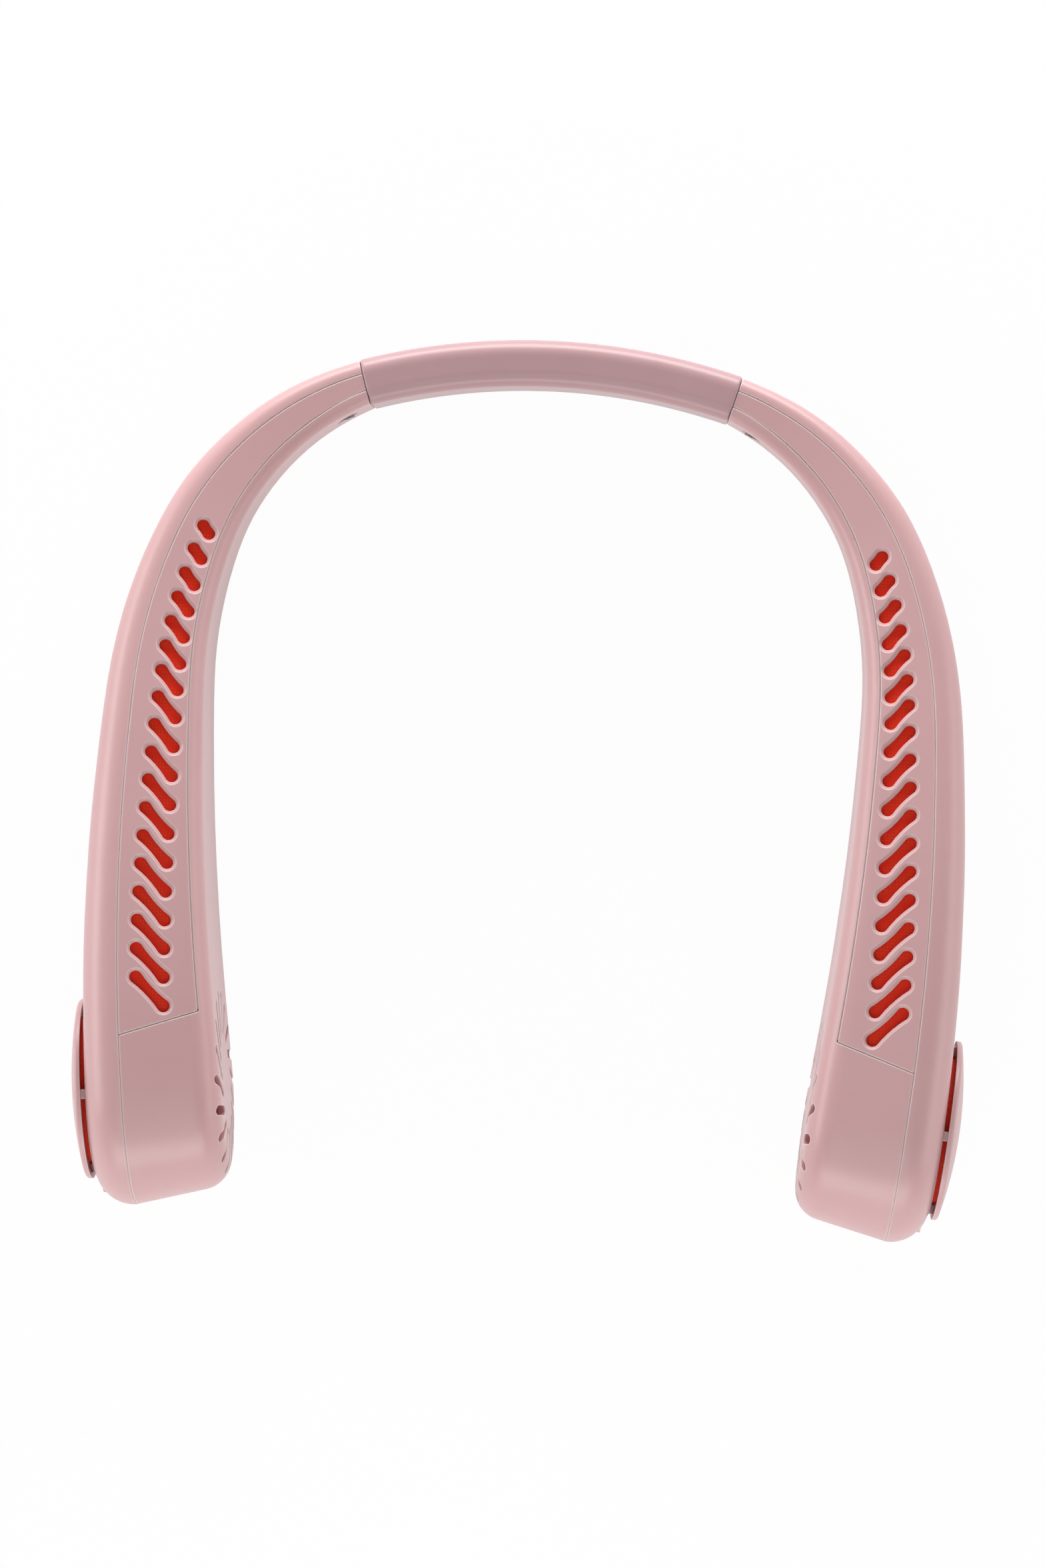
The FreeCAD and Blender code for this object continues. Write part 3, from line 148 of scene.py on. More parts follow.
# Thermoplastic elastomer, moulded against a fine satin tool: a slightly mauve pink, clouded over
# about 14 mm, with a soft broad highlight. The tool's grain is under 0.1 mm and is drawn at 0.4 mm to show.
elastomer, tree, shader = material("moulded elastomer", {"IOR": 1.5})
place = add(tree, "ShaderNodeTexCoord")
cloud = add(tree, "ShaderNodeTexNoise", {"Scale": 1 / (14 * MM), "Detail": 3.0},
            {"Vector": place.outputs["Object"]})
tint = add(tree, "ShaderNodeMix", {"data_type": "RGBA", 6: linear("#B48E91"), 7: linear("#BC979A")},
           {"Factor": cloud.outputs["Fac"]})
tree.links.new(tint.outputs[2], shader.inputs["Base Color"])
gloss = add(tree, "ShaderNodeMapRange", {"To Min": 0.30, "To Max": 0.38}, {"Value": cloud.outputs["Fac"]})
tree.links.new(gloss.outputs["Result"], shader.inputs["Roughness"])
grain = add(tree, "ShaderNodeTexNoise", {"Scale": 1 / (0.4 * MM), "Detail": 2.0},
            {"Vector": place.outputs["Object"]})
relief = add(tree, "ShaderNodeBump", {"Strength": 0.05, "Distance": 0.02 * MM},
             {"Height": grain.outputs["Fac"]})
tree.links.new(relief.outputs["Normal"], shader.inputs["Normal"])

SLEEVE_END = SEAM_ANGLE - SEAM_GAP / SLEEVE_OUTER
for arm, side in ARMS:
    rings = []
    for step in range(BAND_STEPS + 1):
        angle = (SLEEVE_END - SLEEVE_LIP / SLEEVE_INNER) * step / BAND_STEPS
        rings.append([on_nape(r, z, angle, side) for r, z in rounded_profile(
            SLEEVE_INNER, SLEEVE_OUTER, 0, SLEEVE_HEIGHT, SLEEVE_CORNER, CORNER_STEPS)])
    for step in range(1, LIP_STEPS + 1):
        turn = math.radians(90 / LIP_STEPS * step)
        drop = SLEEVE_LIP * (1 - math.cos(turn))
        angle = SLEEVE_END - SLEEVE_LIP * (1 - math.sin(turn)) / SLEEVE_INNER
        rings.append([on_nape(r, z, angle, side) for r, z in rounded_profile(
            SLEEVE_INNER + drop, SLEEVE_OUTER - drop, drop, SLEEVE_HEIGHT - drop,
            SLEEVE_CORNER - drop, CORNER_STEPS)])
    for step in range(CHANNEL_STEPS + 1):
        angle = SLEEVE_END * (1 - step / CHANNEL_STEPS)
        rings.append([on_nape(r, z, angle, side) for r, z in rounded_profile(
            CHANNEL_INNER, CHANNEL_OUTER, CHANNEL_LOW, CHANNEL_HIGH, CHANNEL_CORNER, CORNER_STEPS)])
    sleeve = skin("sleeve_" + arm, rings, side > 0)
    sleeve.data.materials.append(elastomer)
    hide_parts("neck_band_sleeve")
    bends_with(sleeve)

# Band spring: a strip of spring steel in the sleeve's channel that keeps the band's curve.
# It is rolled bright and its ends sit in slots of the two plugs.
STRIP_OUTER = 143.15 * MM
STRIP_THICK = 0.6 * MM
STRIP_LOW = 6 * MM
STRIP_HIGH = 18 * MM
STRIP_CORNER = 0.1 * MM
STRIP_CORNER_STEPS = 3
STRIP_STEPS = 30
STRIP_SHORT = 0.6 * MM
STRIP_END = SEAM_ANGLE - STRIP_SHORT / (BAND_BEND * MM)


def dress(finish, *names):
    """Gives CAD nodes their finish."""
    for name in names:
        for place in nodes[name].material_slots:
            place.material = finish


# Cold-rolled steel: grey metal whose gloss is broken up finely, over about 0.5 mm.
steel, tree, shader = material("rolled steel", {"Metallic": 1.0, "Base Color": linear("#A9AAAD")})
place = add(tree, "ShaderNodeTexCoord")
lines = add(tree, "ShaderNodeTexNoise", {"Scale": 1 / (0.5 * MM), "Detail": 2.0, "Distortion": 0.2},
            {"Vector": place.outputs["Object"]})
gloss = add(tree, "ShaderNodeMapRange", {"To Min": 0.26, "To Max": 0.42}, {"Value": lines.outputs["Fac"]})
tree.links.new(gloss.outputs["Result"], shader.inputs["Roughness"])

for arm, side in ARMS:
    rings = []
    for step in range(STRIP_STEPS + 1):
        rings.append([on_nape(r, z, STRIP_END * step / STRIP_STEPS, side) for r, z in rounded_profile(
            STRIP_OUTER - STRIP_THICK, STRIP_OUTER, STRIP_LOW, STRIP_HIGH, STRIP_CORNER, STRIP_CORNER_STEPS)])
    spring = skin("spring_" + arm, rings, side > 0)
    spring.data.materials.append(steel)
    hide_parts("band_spring")
    bends_with(spring)

# Link cable: a round insulated lead in the channel that joins the two batteries.
# It leaves the band through the plugs and follows the shoulder of each arm.
# An arm's bend is a radius in millimetres and its turn in degrees, and a cable's bend is a radius and
# the headings in degrees between which it runs.
ARM_BENDS = ((66, 49.4), (110, 19), (486, 10.5))
SHOULDER = SEAM + ARM_BENDS[0][1]
CABLE_RADIUS = 1 * MM
CABLE_LEVEL = 12 * MM
CABLE_TAIL = 3.15
CABLE_BENDS = ((BAND_BEND, 0, SEAM), (ARM_BENDS[0][0], SEAM, SHOULDER),
               (ARM_BENDS[1][0], SHOULDER, SHOULDER + CABLE_TAIL))
CABLE_INSET = 5.45
CABLE_STEPS = 24
CABLE_SIDES = 16

# Soft PVC insulation, extruded: near black, with a dull gloss that varies over about 1.5 mm.
insulation, tree, shader = material("extruded insulation", {"Base Color": linear("#1C1C1E"), "IOR": 1.53})
place = add(tree, "ShaderNodeTexCoord")
draw_marks = add(tree, "ShaderNodeTexNoise", {"Scale": 1 / (1.5 * MM), "Detail": 3.0},
                 {"Vector": place.outputs["Object"]})
gloss = add(tree, "ShaderNodeMapRange", {"To Min": 0.42, "To Max": 0.56},
            {"Value": draw_marks.outputs["Fac"]})
tree.links.new(gloss.outputs["Result"], shader.inputs["Roughness"])

for arm, side in ARMS:
    rings = []
    centre = NAPE_CENTRE.copy()
    bend_before = CABLE_BENDS[0][0]
    for bend, start, end in CABLE_BENDS:
        heading = math.radians(start)
        centre += Vector((math.sin(heading), math.cos(heading), 0)) * (bend_before - bend) * MM
        bend_before = bend
        for step in range(0 if start == 0 else 1, CABLE_STEPS + 1):
            angle = math.radians(start + (end - start) * step / CABLE_STEPS)
            ring = []
            for k in range(CABLE_SIDES):
                turn = math.tau * k / CABLE_SIDES
                radius = (bend - CABLE_INSET) * MM + CABLE_RADIUS * math.cos(turn)
                point = centre + Vector((radius * math.sin(angle), radius * math.cos(angle),
                                         CABLE_LEVEL + CABLE_RADIUS * math.sin(turn)))
                ring.append(Vector((side * point.x, point.y, point.z)))
            rings.append(ring)
    cable = skin("cable_" + arm, rings, side > 0)
    cable.data.materials.append(insulation)
    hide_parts("link_cable")
    bends_with(cable)

# Band plugs: rigid tongues on blocks that are clamped inside the arms by one screw each.
# They and the blower housings are moulded in a natural, unpainted plastic.
# Natural ABS: creamy white, with slow flow shading about 6 mm across.
natural, tree, shader = material("natural ABS", {"IOR": 1.54})
place = add(tree, "ShaderNodeTexCoord")
flow = add(tree, "ShaderNodeTexNoise", {"Scale": 1 / (6 * MM), "Detail": 3.0},
           {"Vector": place.outputs["Object"]})
tint = add(tree, "ShaderNodeMix", {"data_type": "RGBA", 6: linear("#DCD7CC"), 7: linear("#E6E2D9")},
           {"Factor": flow.outputs["Fac"]})
tree.links.new(tint.outputs[2], shader.inputs["Base Color"])
gloss = add(tree, "ShaderNodeMapRange", {"To Min": 0.4, "To Max": 0.5}, {"Value": flow.outputs["Fac"]})
tree.links.new(gloss.outputs["Result"], shader.inputs["Roughness"])
dress(natural, "right_band_plug", "left_band_plug", "right_blower_housing", "left_blower_housing")

# Arm shells and intake caps: pink plastic mouldings that meet at fine parting lines.
# Each arm has an outer shell and a neck-side shell, and a domed cap on legs over its side intake.
# ABS moulded against a spark-eroded tool: satin pink, with slow flow shading about 20 mm across and a
# grain that only breaks up the highlight. The grain is about 0.1 mm and is drawn at 0.35 mm to show.
# Edges are rounded by about 0.5 mm, and where the rounding turns the normal the colour is mixed towards pale
# pink: a painted highlight along the edges.
pink, tree, shader = material("satin pink ABS", {"IOR": 1.54})
place = add(tree, "ShaderNodeTexCoord")
flow = add(tree, "ShaderNodeTexNoise", {"Scale": 1 / (20 * MM), "Detail": 3.0},
           {"Vector": place.outputs["Object"]})
tint = add(tree, "ShaderNodeMix", {"data_type": "RGBA", 6: linear("#C69B9C"), 7: linear("#CCA2A3")},
           {"Factor": flow.outputs["Fac"]})
soft_edge = add(tree, "ShaderNodeBevel", {"samples": 6, "Radius": 0.5 * MM})
face = add(tree, "ShaderNodeNewGeometry")
bend = add(tree, "ShaderNodeVectorMath", {"operation": "DOT_PRODUCT"},
           {0: soft_edge.outputs["Normal"], 1: face.outputs["Normal"]})
# Painted highlight: the further the rounded normal turns from the face's normal, the paler the pink near the
# edge.
painted_edge_highlight = add(tree, "ShaderNodeMapRange", {"From Min": 0.99, "From Max": 0.9, "To Max": 0.8},
            {"Value": bend.outputs["Value"]})
# Pale pink mixed into the base colour by that mask, a painted edge highlight.
edge_highlight_colour = add(tree, "ShaderNodeMix", {"data_type": "RGBA", 7: linear("#F3E6E4")},
           {"Factor": painted_edge_highlight.outputs["Result"], 6: tint.outputs[2]})
tree.links.new(edge_highlight_colour.outputs[2], shader.inputs["Base Color"])
grain = add(tree, "ShaderNodeTexNoise", {"Scale": 1 / (0.35 * MM), "Detail": 2.0},
            {"Vector": place.outputs["Object"]})
gloss = add(tree, "ShaderNodeMapRange", {"To Min": 0.31, "To Max": 0.41}, {"Value": grain.outputs["Fac"]})
tree.links.new(gloss.outputs["Result"], shader.inputs["Roughness"])
relief = add(tree, "ShaderNodeBump", {"Strength": 0.06, "Distance": 0.02 * MM},
             {"Height": grain.outputs["Fac"], "Normal": soft_edge.outputs["Normal"]})
tree.links.new(relief.outputs["Normal"], shader.inputs["Normal"])
for side in ("right_", "left_"):
    dress(pink, *(side + name for name in ("outer_shell", "inner_shell", "intake_cap")))

# Shell tongues: the thin lips of the shells' lap joints, which close each parting line from inside.
# They are moulded with the shells, and are seen only as the bottom of the fine lines.
# Sizes of the arms are in millimetres, and on_arm turns them into metres. A growth is what a size gains
# between the seam and the blower.
ARM_RUN = sum(bend * math.radians(turn) for bend, turn in ARM_BENDS)
ARM_STEPS = 60
THICK, THICK_GROWTH, THICK_EASE = 9.5, 19.5, 1.25
FRONT, FRONT_GROWTH = 24, 26.8
ROUNDING_SHARE = 0.28
CORNER, CORNER_GROWTH = 2.2, 4.3
FRONT_TILT = 9.5
BLOWER_LEVEL = 25.2
WRAP_STEPS = 30
WRAP_STEP = 5.4
PARTING_STEP = 0.3
INNER_LINE_INSET = 2.9
INNER_LINE_STOP = 2
GRILLE_END = 15.5
GRILLE_PIVOT = 17.12
GRILLE_SLANT = math.radians(15.5)
END_LINE_PAST = 0.1
END_LINE_REACH = 26
END_LINE_STEPS = 20
TONGUE_WIDE = 0.2
TONGUE_TOP = 0.12
TONGUE_LOW = 1.2
TONGUE_CORNERS = ((-TONGUE_WIDE / 2, TONGUE_TOP), (TONGUE_WIDE / 2, TONGUE_TOP),
                  (TONGUE_WIDE / 2, TONGUE_LOW), (-TONGUE_WIDE / 2, TONGUE_LOW))


def on_arm(run, across, height, side):
    """Point of an arm at a run from the seam, a distance in from its outer edge and a height."""
    radius, angle, centre = BAND_BEND, SEAM_ANGLE, NAPE_CENTRE / MM
    for bend, turn in ARM_BENDS:
        centre = centre + Vector((math.sin(angle), math.cos(angle), 0)) * (radius - bend)
        radius = bend
        step = min(run / bend, math.radians(turn))
        angle += step
        run -= bend * step
        if run < 1e-6:
            break
    reach = radius - across
    point = centre + Vector((math.sin(angle) * reach, math.cos(angle) * reach, height))
    point += Vector((math.cos(angle), -math.sin(angle), 0)) * run
    return Vector((side * point.x, point.y, point.z)) * MM


def arm_section(run):
    """Thickness, front height, outer rounding, neck-side rounding and slope of the front at a run."""
    share = min(run / ARM_RUN, 1)
    thick = THICK + THICK_GROWTH * (1 - (1 - share) ** THICK_EASE)
    front = FRONT + FRONT_GROWTH * share * share * (3 - 2 * share)
    corner = CORNER + CORNER_GROWTH * share
    return thick, front, ROUNDING_SHARE * thick, corner, math.tan(math.radians(FRONT_TILT * share))


def front_face(run, across, inset):
    """Height of the arm's front, an inset below its face."""
    thick, front, rounding, corner, slope = arm_section(run)
    corner -= inset
    middle = thick - corner - inset
    height = front - inset - slope * max(across - rounding, 0)
    if across - middle > corner * math.sin(math.atan(slope)):
        top = front - inset - slope * (middle - rounding) - corner * math.hypot(1, slope)
        height = top + math.sqrt(max(corner ** 2 - (across - middle) ** 2, 0))
    return height


def lip_along(track, side):
    """Rings of a lip along a track of (run, across) that follows the arm."""
    return [[on_arm(run, across + offset, front_face(run, across + offset, inset), side)
             for offset, inset in TONGUE_CORNERS] for run, across in track]


def grille_end(across):
    """Run at which the grille ends, on a slant across the arm."""
    return ARM_RUN - GRILLE_END - (across - GRILLE_PIVOT) * math.tan(GRILLE_SLANT)


steps = [ARM_RUN * k / ARM_STEPS for k in range(ARM_STEPS + 1)]
parting = [(run, arm_section(run)[2] + PARTING_STEP) for run in steps]
inner_line = [(run, arm_section(run)[0] - INNER_LINE_INSET) for run in steps
              if run < ARM_RUN - GRILLE_END - INNER_LINE_STOP]
parting_end = parting[-1][1]
end_line = []
for k in range(END_LINE_STEPS + 1):
    across = parting_end + (END_LINE_REACH - parting_end) * k / END_LINE_STEPS
    end_line.append((grille_end(across) + END_LINE_PAST, across))
for arm, side in ARMS:
    lips = {"parting": lip_along(parting, side), "inner_line": lip_along(inner_line, side)}
    for step in range(1, WRAP_STEPS + 1):
        turn = math.radians(WRAP_STEP * step)
        ring = []
        for offset, inset in TONGUE_CORNERS:
            reach = front_face(ARM_RUN, parting_end + offset, inset) - BLOWER_LEVEL
            ring.append(on_arm(ARM_RUN + reach * math.sin(turn), parting_end + offset,
                               BLOWER_LEVEL + reach * math.cos(turn), side))
        lips["parting"].append(ring)
    lips["end_line"] = [[on_arm(run + offset, across, front_face(run, across, inset), side)
                         for offset, inset in TONGUE_CORNERS] for run, across in end_line]
    for name, rings in lips.items():
        tongue = skin(name + "_" + arm, rings, side > 0)
        tongue.data.materials.append(pink)
        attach(tongue, arm)

# Outlet grilles: the slotted front strips, moulded like the shells and clipped in between them.
# Each has 18 bone-shaped slots with a bevelled rim, which grow longer and lean less down the arm.
GRILLE_WALL = 1.8
GRILLE_NEAR, GRILLE_SPAN = 8.4, 17
GRILLE_GAP, GRILLE_MARGIN = 0.4, 3.4
GRILLE_ROWS, GRILLE_COLUMNS = 80, 14
SHARP_ANGLE = math.radians(25)
SLOT_COUNT = 18
SLOT_PITCH = 6.26
SLOT_LAST = 22.3
SLOT_LENGTHS = (4.9, 11.3)
SLOT_LEANS = (54, 43.5)
SLOT_PLACES = (10.2, 14.9)
LENGTH_EASE = 1.8
PLACE_EASE = 3
SLOT_END = 1.4
SLOT_WAIST = 0.085
SLOT_RIM = 0.65
SLOT_OVERCUT = 2
END_STEPS = 8
WAIST_SHARES = (0.6, 0.2, -0.2, -0.6)


def bone(length, spread):
    """Outline of a slot: two round ends and a waist."""
    reach = length / 2 - SLOT_END
    end = SLOT_END + spread
    waist = end - SLOT_WAIST * reach
    points = []
    for sign in (1, -1):
        for k in range(END_STEPS + 1):
            turn = math.radians(90 - 180 / END_STEPS * k)
            points.append((sign * (reach + end * math.cos(turn)), sign * end * math.sin(turn)))
        for share in WAIST_SHARES:
            points.append((sign * reach * share, -sign * (waist + (end - waist) * share ** 2)))
    return points


def solid(name, rings, flip):
    """Closed mesh over rings of points, with a face on each end."""
    piece = skin(name, rings, flip)
    count, last = len(rings[0]), len(rings[0]) * (len(rings) - 1)
    points = [tuple(vertex.co) for vertex in piece.data.vertices]
    faces = [tuple(face.vertices) for face in piece.data.polygons]
    ends = [tuple(range(count))[::-1], tuple(range(last, last + count))]
    faces += [end[::-1] if flip else end for end in ends]
    piece.data.clear_geometry()
    piece.data.from_pydata(points, [], faces)
    return piece


for arm, side in ARMS:
    rings = []
    for row in range(GRILLE_ROWS + 1):
        spots = []
        for column in range(GRILLE_COLUMNS + 1):
            part = column / GRILLE_COLUMNS
            run = grille_end(GRILLE_NEAR + GRILLE_SPAN * part) * row / GRILLE_ROWS
            thick, _, rounding, _, _ = arm_section(run)
            spots.append((run, rounding + GRILLE_GAP + (thick - GRILLE_MARGIN - rounding) * part))
        rings.append([on_arm(run, across, front_face(run, across, 0), side) for run, across in spots]
                     + [on_arm(run, across, front_face(run, across, GRILLE_WALL), side)
                        for run, across in reversed(spots)])
    grille = solid("outlet_grille_" + arm, rings, side > 0)
    cutters = []
    for k in range(SLOT_COUNT):
        share = k / (SLOT_COUNT - 1)
        run = ARM_RUN - SLOT_LAST - SLOT_PITCH * (SLOT_COUNT - 1 - k)
        across = SLOT_PLACES[0] + (SLOT_PLACES[1] - SLOT_PLACES[0]) * (1 - (1 - share) ** PLACE_EASE)
        length = SLOT_LENGTHS[0] + (SLOT_LENGTHS[1] - SLOT_LENGTHS[0]) * (1 - (1 - share) ** LENGTH_EASE)
        lean = math.radians(SLOT_LEANS[0] + (SLOT_LEANS[1] - SLOT_LEANS[0]) * share)
        here = on_arm(run, across, front_face(run, across, 0), side)
        on = on_arm(run + 1, across, front_face(run + 1, across, 0), side) - here
        over = on_arm(run, across + 1, front_face(run, across + 1, 0), side) - here
        normal = (over.cross(on) * side).normalized()
        long_way = Vector((-side * math.cos(lean), -math.sin(lean), 0))
        long_way = (long_way - normal * long_way.dot(normal)).normalized()
        wide_way = normal.cross(long_way)
        levels = ((-GRILLE_WALL - SLOT_OVERCUT, 0), (-SLOT_RIM, 0), (SLOT_RIM, 2 * SLOT_RIM))
        cutter = solid("slot", [[here + (long_way * x + wide_way * y + normal * depth) * MM
                                 for x, y in bone(length, spread)] for depth, spread in levels], True)
        cutters.append(cutter)
    holder = bpy.data.collections.new("slots_" + arm)
    for cutter in cutters:
        holder.objects.link(cutter)
    cut = grille.modifiers.new("slots", "BOOLEAN")
    cut.operand_type = "COLLECTION"
    cut.collection = holder
    cut.solver = "EXACT"
    slotted = bpy.data.meshes.new_from_object(grille.evaluated_get(bpy.context.evaluated_depsgraph_get()))
    grille.modifiers.clear()
    grille.data = slotted
    slotted.set_sharp_from_angle(angle=SHARP_ANGLE)
    for cutter in cutters:
        bpy.data.objects.remove(cutter)
    bpy.data.collections.remove(holder)
    slotted.materials.append(pink)
    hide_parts(arm.replace("arm", "outlet_grille"))
    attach(grille, arm)

# Dust meshes: red woven polyester behind the intakes and the neck-side slits.
# They are cut to shape and lie on the inside of the shells.
# Plain weave with threads 0.35 mm apart, drawn at 0.7 mm to show: small bright squares of
# crossing threads with dark holes between them.
# A wave texture of scale 1 repeats every tau / 20.
THREAD = 0.7 * MM
WAVE_REPEAT = math.tau / 20
red_mesh, tree, shader = material("woven red polyester", {"Roughness": 0.7, "IOR": 1.45})
place = add(tree, "ShaderNodeTexCoord")
heights = []
for direction in ("X", "Y", "Z"):
    wave = add(tree, "ShaderNodeTexWave", {"bands_direction": direction, "Scale": WAVE_REPEAT / THREAD},
               {"Vector": place.outputs["Object"]})
    heights.append(wave.outputs["Fac"])
pair = add(tree, "ShaderNodeMath", {"operation": "MULTIPLY"}, {0: heights[0], 1: heights[1]})
weave = add(tree, "ShaderNodeMath", {"operation": "MULTIPLY"}, {0: pair.outputs[0], 1: heights[2]})
tint = add(tree, "ShaderNodeMix", {"data_type": "RGBA", 6: linear("#FF2C06"), 7: linear("#FF5014")},
           {"Factor": weave.outputs[0]})
tree.links.new(tint.outputs[2], shader.inputs["Base Color"])
relief = add(tree, "ShaderNodeBump", {"Strength": 0.4, "Distance": 0.1 * MM}, {"Height": weave.outputs[0]})
tree.links.new(relief.outputs["Normal"], shader.inputs["Normal"])
for side in ("right_", "left_"):
    dress(red_mesh, side + "intake_mesh", side + "neck_mesh")

# Outlet meshes: the same cloth in long strips, laid behind the slots against the front wall.
# They follow the inside of the wall round to the neck side.
MESH_START = 46
MESH_TOP = 1.95
MESH_LOW = 2.35
MESH_NEAR = 0.5
MESH_FAR = 2.6
MESH_END = 1
MESH_ROWS, MESH_COLUMNS = 60, 16
for arm, side in ARMS:
    rings = []
    for row in range(MESH_ROWS + 1):
        run = MESH_START + (ARM_RUN - GRILLE_END - MESH_END - MESH_START) * row / MESH_ROWS
        thick, _, rounding, _, _ = arm_section(run)
        near, far = rounding + MESH_NEAR, thick - MESH_FAR
        spots = [near + (far - near) * k / MESH_COLUMNS for k in range(MESH_COLUMNS + 1)]
        top = [on_arm(run, across, front_face(run, across, MESH_TOP), side) for across in spots]
        low = [on_arm(run, across, front_face(run, across, MESH_LOW), side) for across in reversed(spots)]
        rings.append(top + low)
    cloth = skin("outlet_mesh_" + arm, rings, side > 0)
    cloth.data.materials.append(red_mesh)
    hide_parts(arm.replace("arm", "outlet_mesh"))
    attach(cloth, arm)

# Impellers: one grey moulding each, with end rings, swept blades and a web.
# They are pressed on the rotor cups and turn with them.
# Filled nylon: mid grey, with pale short-fibre flecks about 0.8 mm long.
nylon, tree, shader = material("filled nylon", {"IOR": 1.53})
place = add(tree, "ShaderNodeTexCoord")
fleck = add(tree, "ShaderNodeTexNoise", {"Scale": 1 / (0.8 * MM), "Detail": 4.0},
            {"Vector": place.outputs["Object"]})
tint = add(tree, "ShaderNodeMix", {"data_type": "RGBA", 6: linear("#84858A"), 7: linear("#96979B")},
           {"Factor": fleck.outputs["Fac"]})
tree.links.new(tint.outputs[2], shader.inputs["Base Color"])
gloss = add(tree, "ShaderNodeMapRange", {"To Min": 0.42, "To Max": 0.55}, {"Value": fleck.outputs["Fac"]})
tree.links.new(gloss.outputs["Result"], shader.inputs["Roughness"])
dress(nylon, "right_impeller", "left_impeller")

# Rotors, shafts, screws and charging port: plain steel pieces, pressed, turned or stamped.
# They keep the steel's bare surface.
dress(steel, "usb_port", "board_screws")
for side in ("right_", "left_"):
    dress(steel, side + "motor_rotor", side + "motor_shaft", side + "housing_screws", side + "clamp_screw")

# Motor bearings: sintered bushes pressed into the housings' bearing tubes.
# Sintered bronze: brown metal, dull from its open pores, about 0.3 mm here.
bronze, tree, shader = material("sintered bronze", {"Metallic": 1.0})
place = add(tree, "ShaderNodeTexCoord")
pores = add(tree, "ShaderNodeTexNoise", {"Scale": 1 / (0.3 * MM), "Detail": 3.0},
            {"Vector": place.outputs["Object"]})
tint = add(tree, "ShaderNodeMix", {"data_type": "RGBA", 6: linear("#8A6238"), 7: linear("#B58A55")},
           {"Factor": pores.outputs["Fac"]})
tree.links.new(tint.outputs[2], shader.inputs["Base Color"])
gloss = add(tree, "ShaderNodeMapRange", {"To Min": 0.4, "To Max": 0.6}, {"Value": pores.outputs["Fac"]})
tree.links.new(gloss.outputs["Result"], shader.inputs["Roughness"])
dress(bronze, "right_motor_bearing", "left_motor_bearing")

# Motor stators: stacked steel sheets with windings, dipped in varnish.
# Varnished laminations: dark brown-grey bands 0.5 mm thick, with a glossy coat.
core, tree, shader = material("varnished laminations",
                              {"Metallic": 0.6, "Roughness": 0.35, "Coat Weight": 0.6})
place = add(tree, "ShaderNodeTexCoord")
sheets = add(tree, "ShaderNodeTexWave", {"bands_direction": "X", "Scale": WAVE_REPEAT / (0.5 * MM)},
             {"Vector": place.outputs["Object"]})
tint = add(tree, "ShaderNodeMix", {"data_type": "RGBA", 6: linear("#4A403A"), 7: linear("#6E625A")},
           {"Factor": sheets.outputs["Fac"]})
tree.links.new(tint.outputs[2], shader.inputs["Base Color"])
dress(core, "right_motor_stator", "left_motor_stator")

# Batteries: flat lithium cells in a foil pouch, held between ribs of the outer shells.
# Laminated aluminium foil: pale grey metal with shallow dents about 5 mm across.
foil, tree, shader = material("laminated foil", {"Metallic": 0.9, "Base Color": linear("#B9BDC4")})
place = add(tree, "ShaderNodeTexCoord")
dents = add(tree, "ShaderNodeTexNoise", {"Scale": 1 / (5 * MM), "Detail": 4.0},
            {"Vector": place.outputs["Object"]})
gloss = add(tree, "ShaderNodeMapRange", {"To Min": 0.28, "To Max": 0.45}, {"Value": dents.outputs["Fac"]})
tree.links.new(gloss.outputs["Result"], shader.inputs["Roughness"])
relief = add(tree, "ShaderNodeBump", {"Strength": 0.3, "Distance": 0.3 * MM},
             {"Height": dents.outputs["Fac"]})
tree.links.new(relief.outputs["Normal"], shader.inputs["Normal"])
dress(foil, "right_battery", "left_battery")

# Motor leads: insulated wires from each battery's end to the motor's seat, clear of the impeller.
# They have the same extruded jacket as the link cable.
dress(insulation, "right_motor_lead", "left_motor_lead")

# Main board: a glass-fibre laminate under green solder mask, screwed to posts in the right arm.
# Solder mask over laminate: dark green, glossy, with tracks 1 mm wide that show a lighter green.
laminate, tree, shader = material("solder mask on laminate", {"Roughness": 0.3, "IOR": 1.55})
place = add(tree, "ShaderNodeTexCoord")
tracks = add(tree, "ShaderNodeTexBrick", {"Scale": 1.0, "Brick Width": 6 * MM, "Row Height": 2 * MM,
                                          "Mortar Size": 0.5 * MM, "Color1": linear("#0F4A2A"),
                                          "Color2": linear("#11502E"), "Mortar": linear("#1E7044")},
             {"Vector": place.outputs["Object"]})
tree.links.new(tracks.outputs["Color"], shader.inputs["Base Color"])
relief = add(tree, "ShaderNodeBump", {"Strength": 0.2, "Distance": 0.05 * MM},
             {"Height": tracks.outputs["Fac"]})
tree.links.new(relief.outputs["Normal"], shader.inputs["Normal"])
dress(laminate, "main_board")

# Switch: a small black moulded case with a square plunger, soldered to the board under the button.
# Moulded nylon: black, with a dull even gloss that varies over about 1 mm.
black, tree, shader = material("black nylon", {"Base Color": linear("#18181A"), "IOR": 1.53})
place = add(tree, "ShaderNodeTexCoord")
cloud = add(tree, "ShaderNodeTexNoise", {"Scale": 1 / (1 * MM), "Detail": 3.0},
            {"Vector": place.outputs["Object"]})
gloss = add(tree, "ShaderNodeMapRange", {"To Min": 0.38, "To Max": 0.52}, {"Value": cloud.outputs["Fac"]})
tree.links.new(gloss.outputs["Result"], shader.inputs["Roughness"])
dress(black, "tact_switch")

# Power button: a round cap in the right arm's outer side, held by a flange and sprung by the switch.
# It is moulded in the shells' pink ABS.
dress(pink, "power_button")

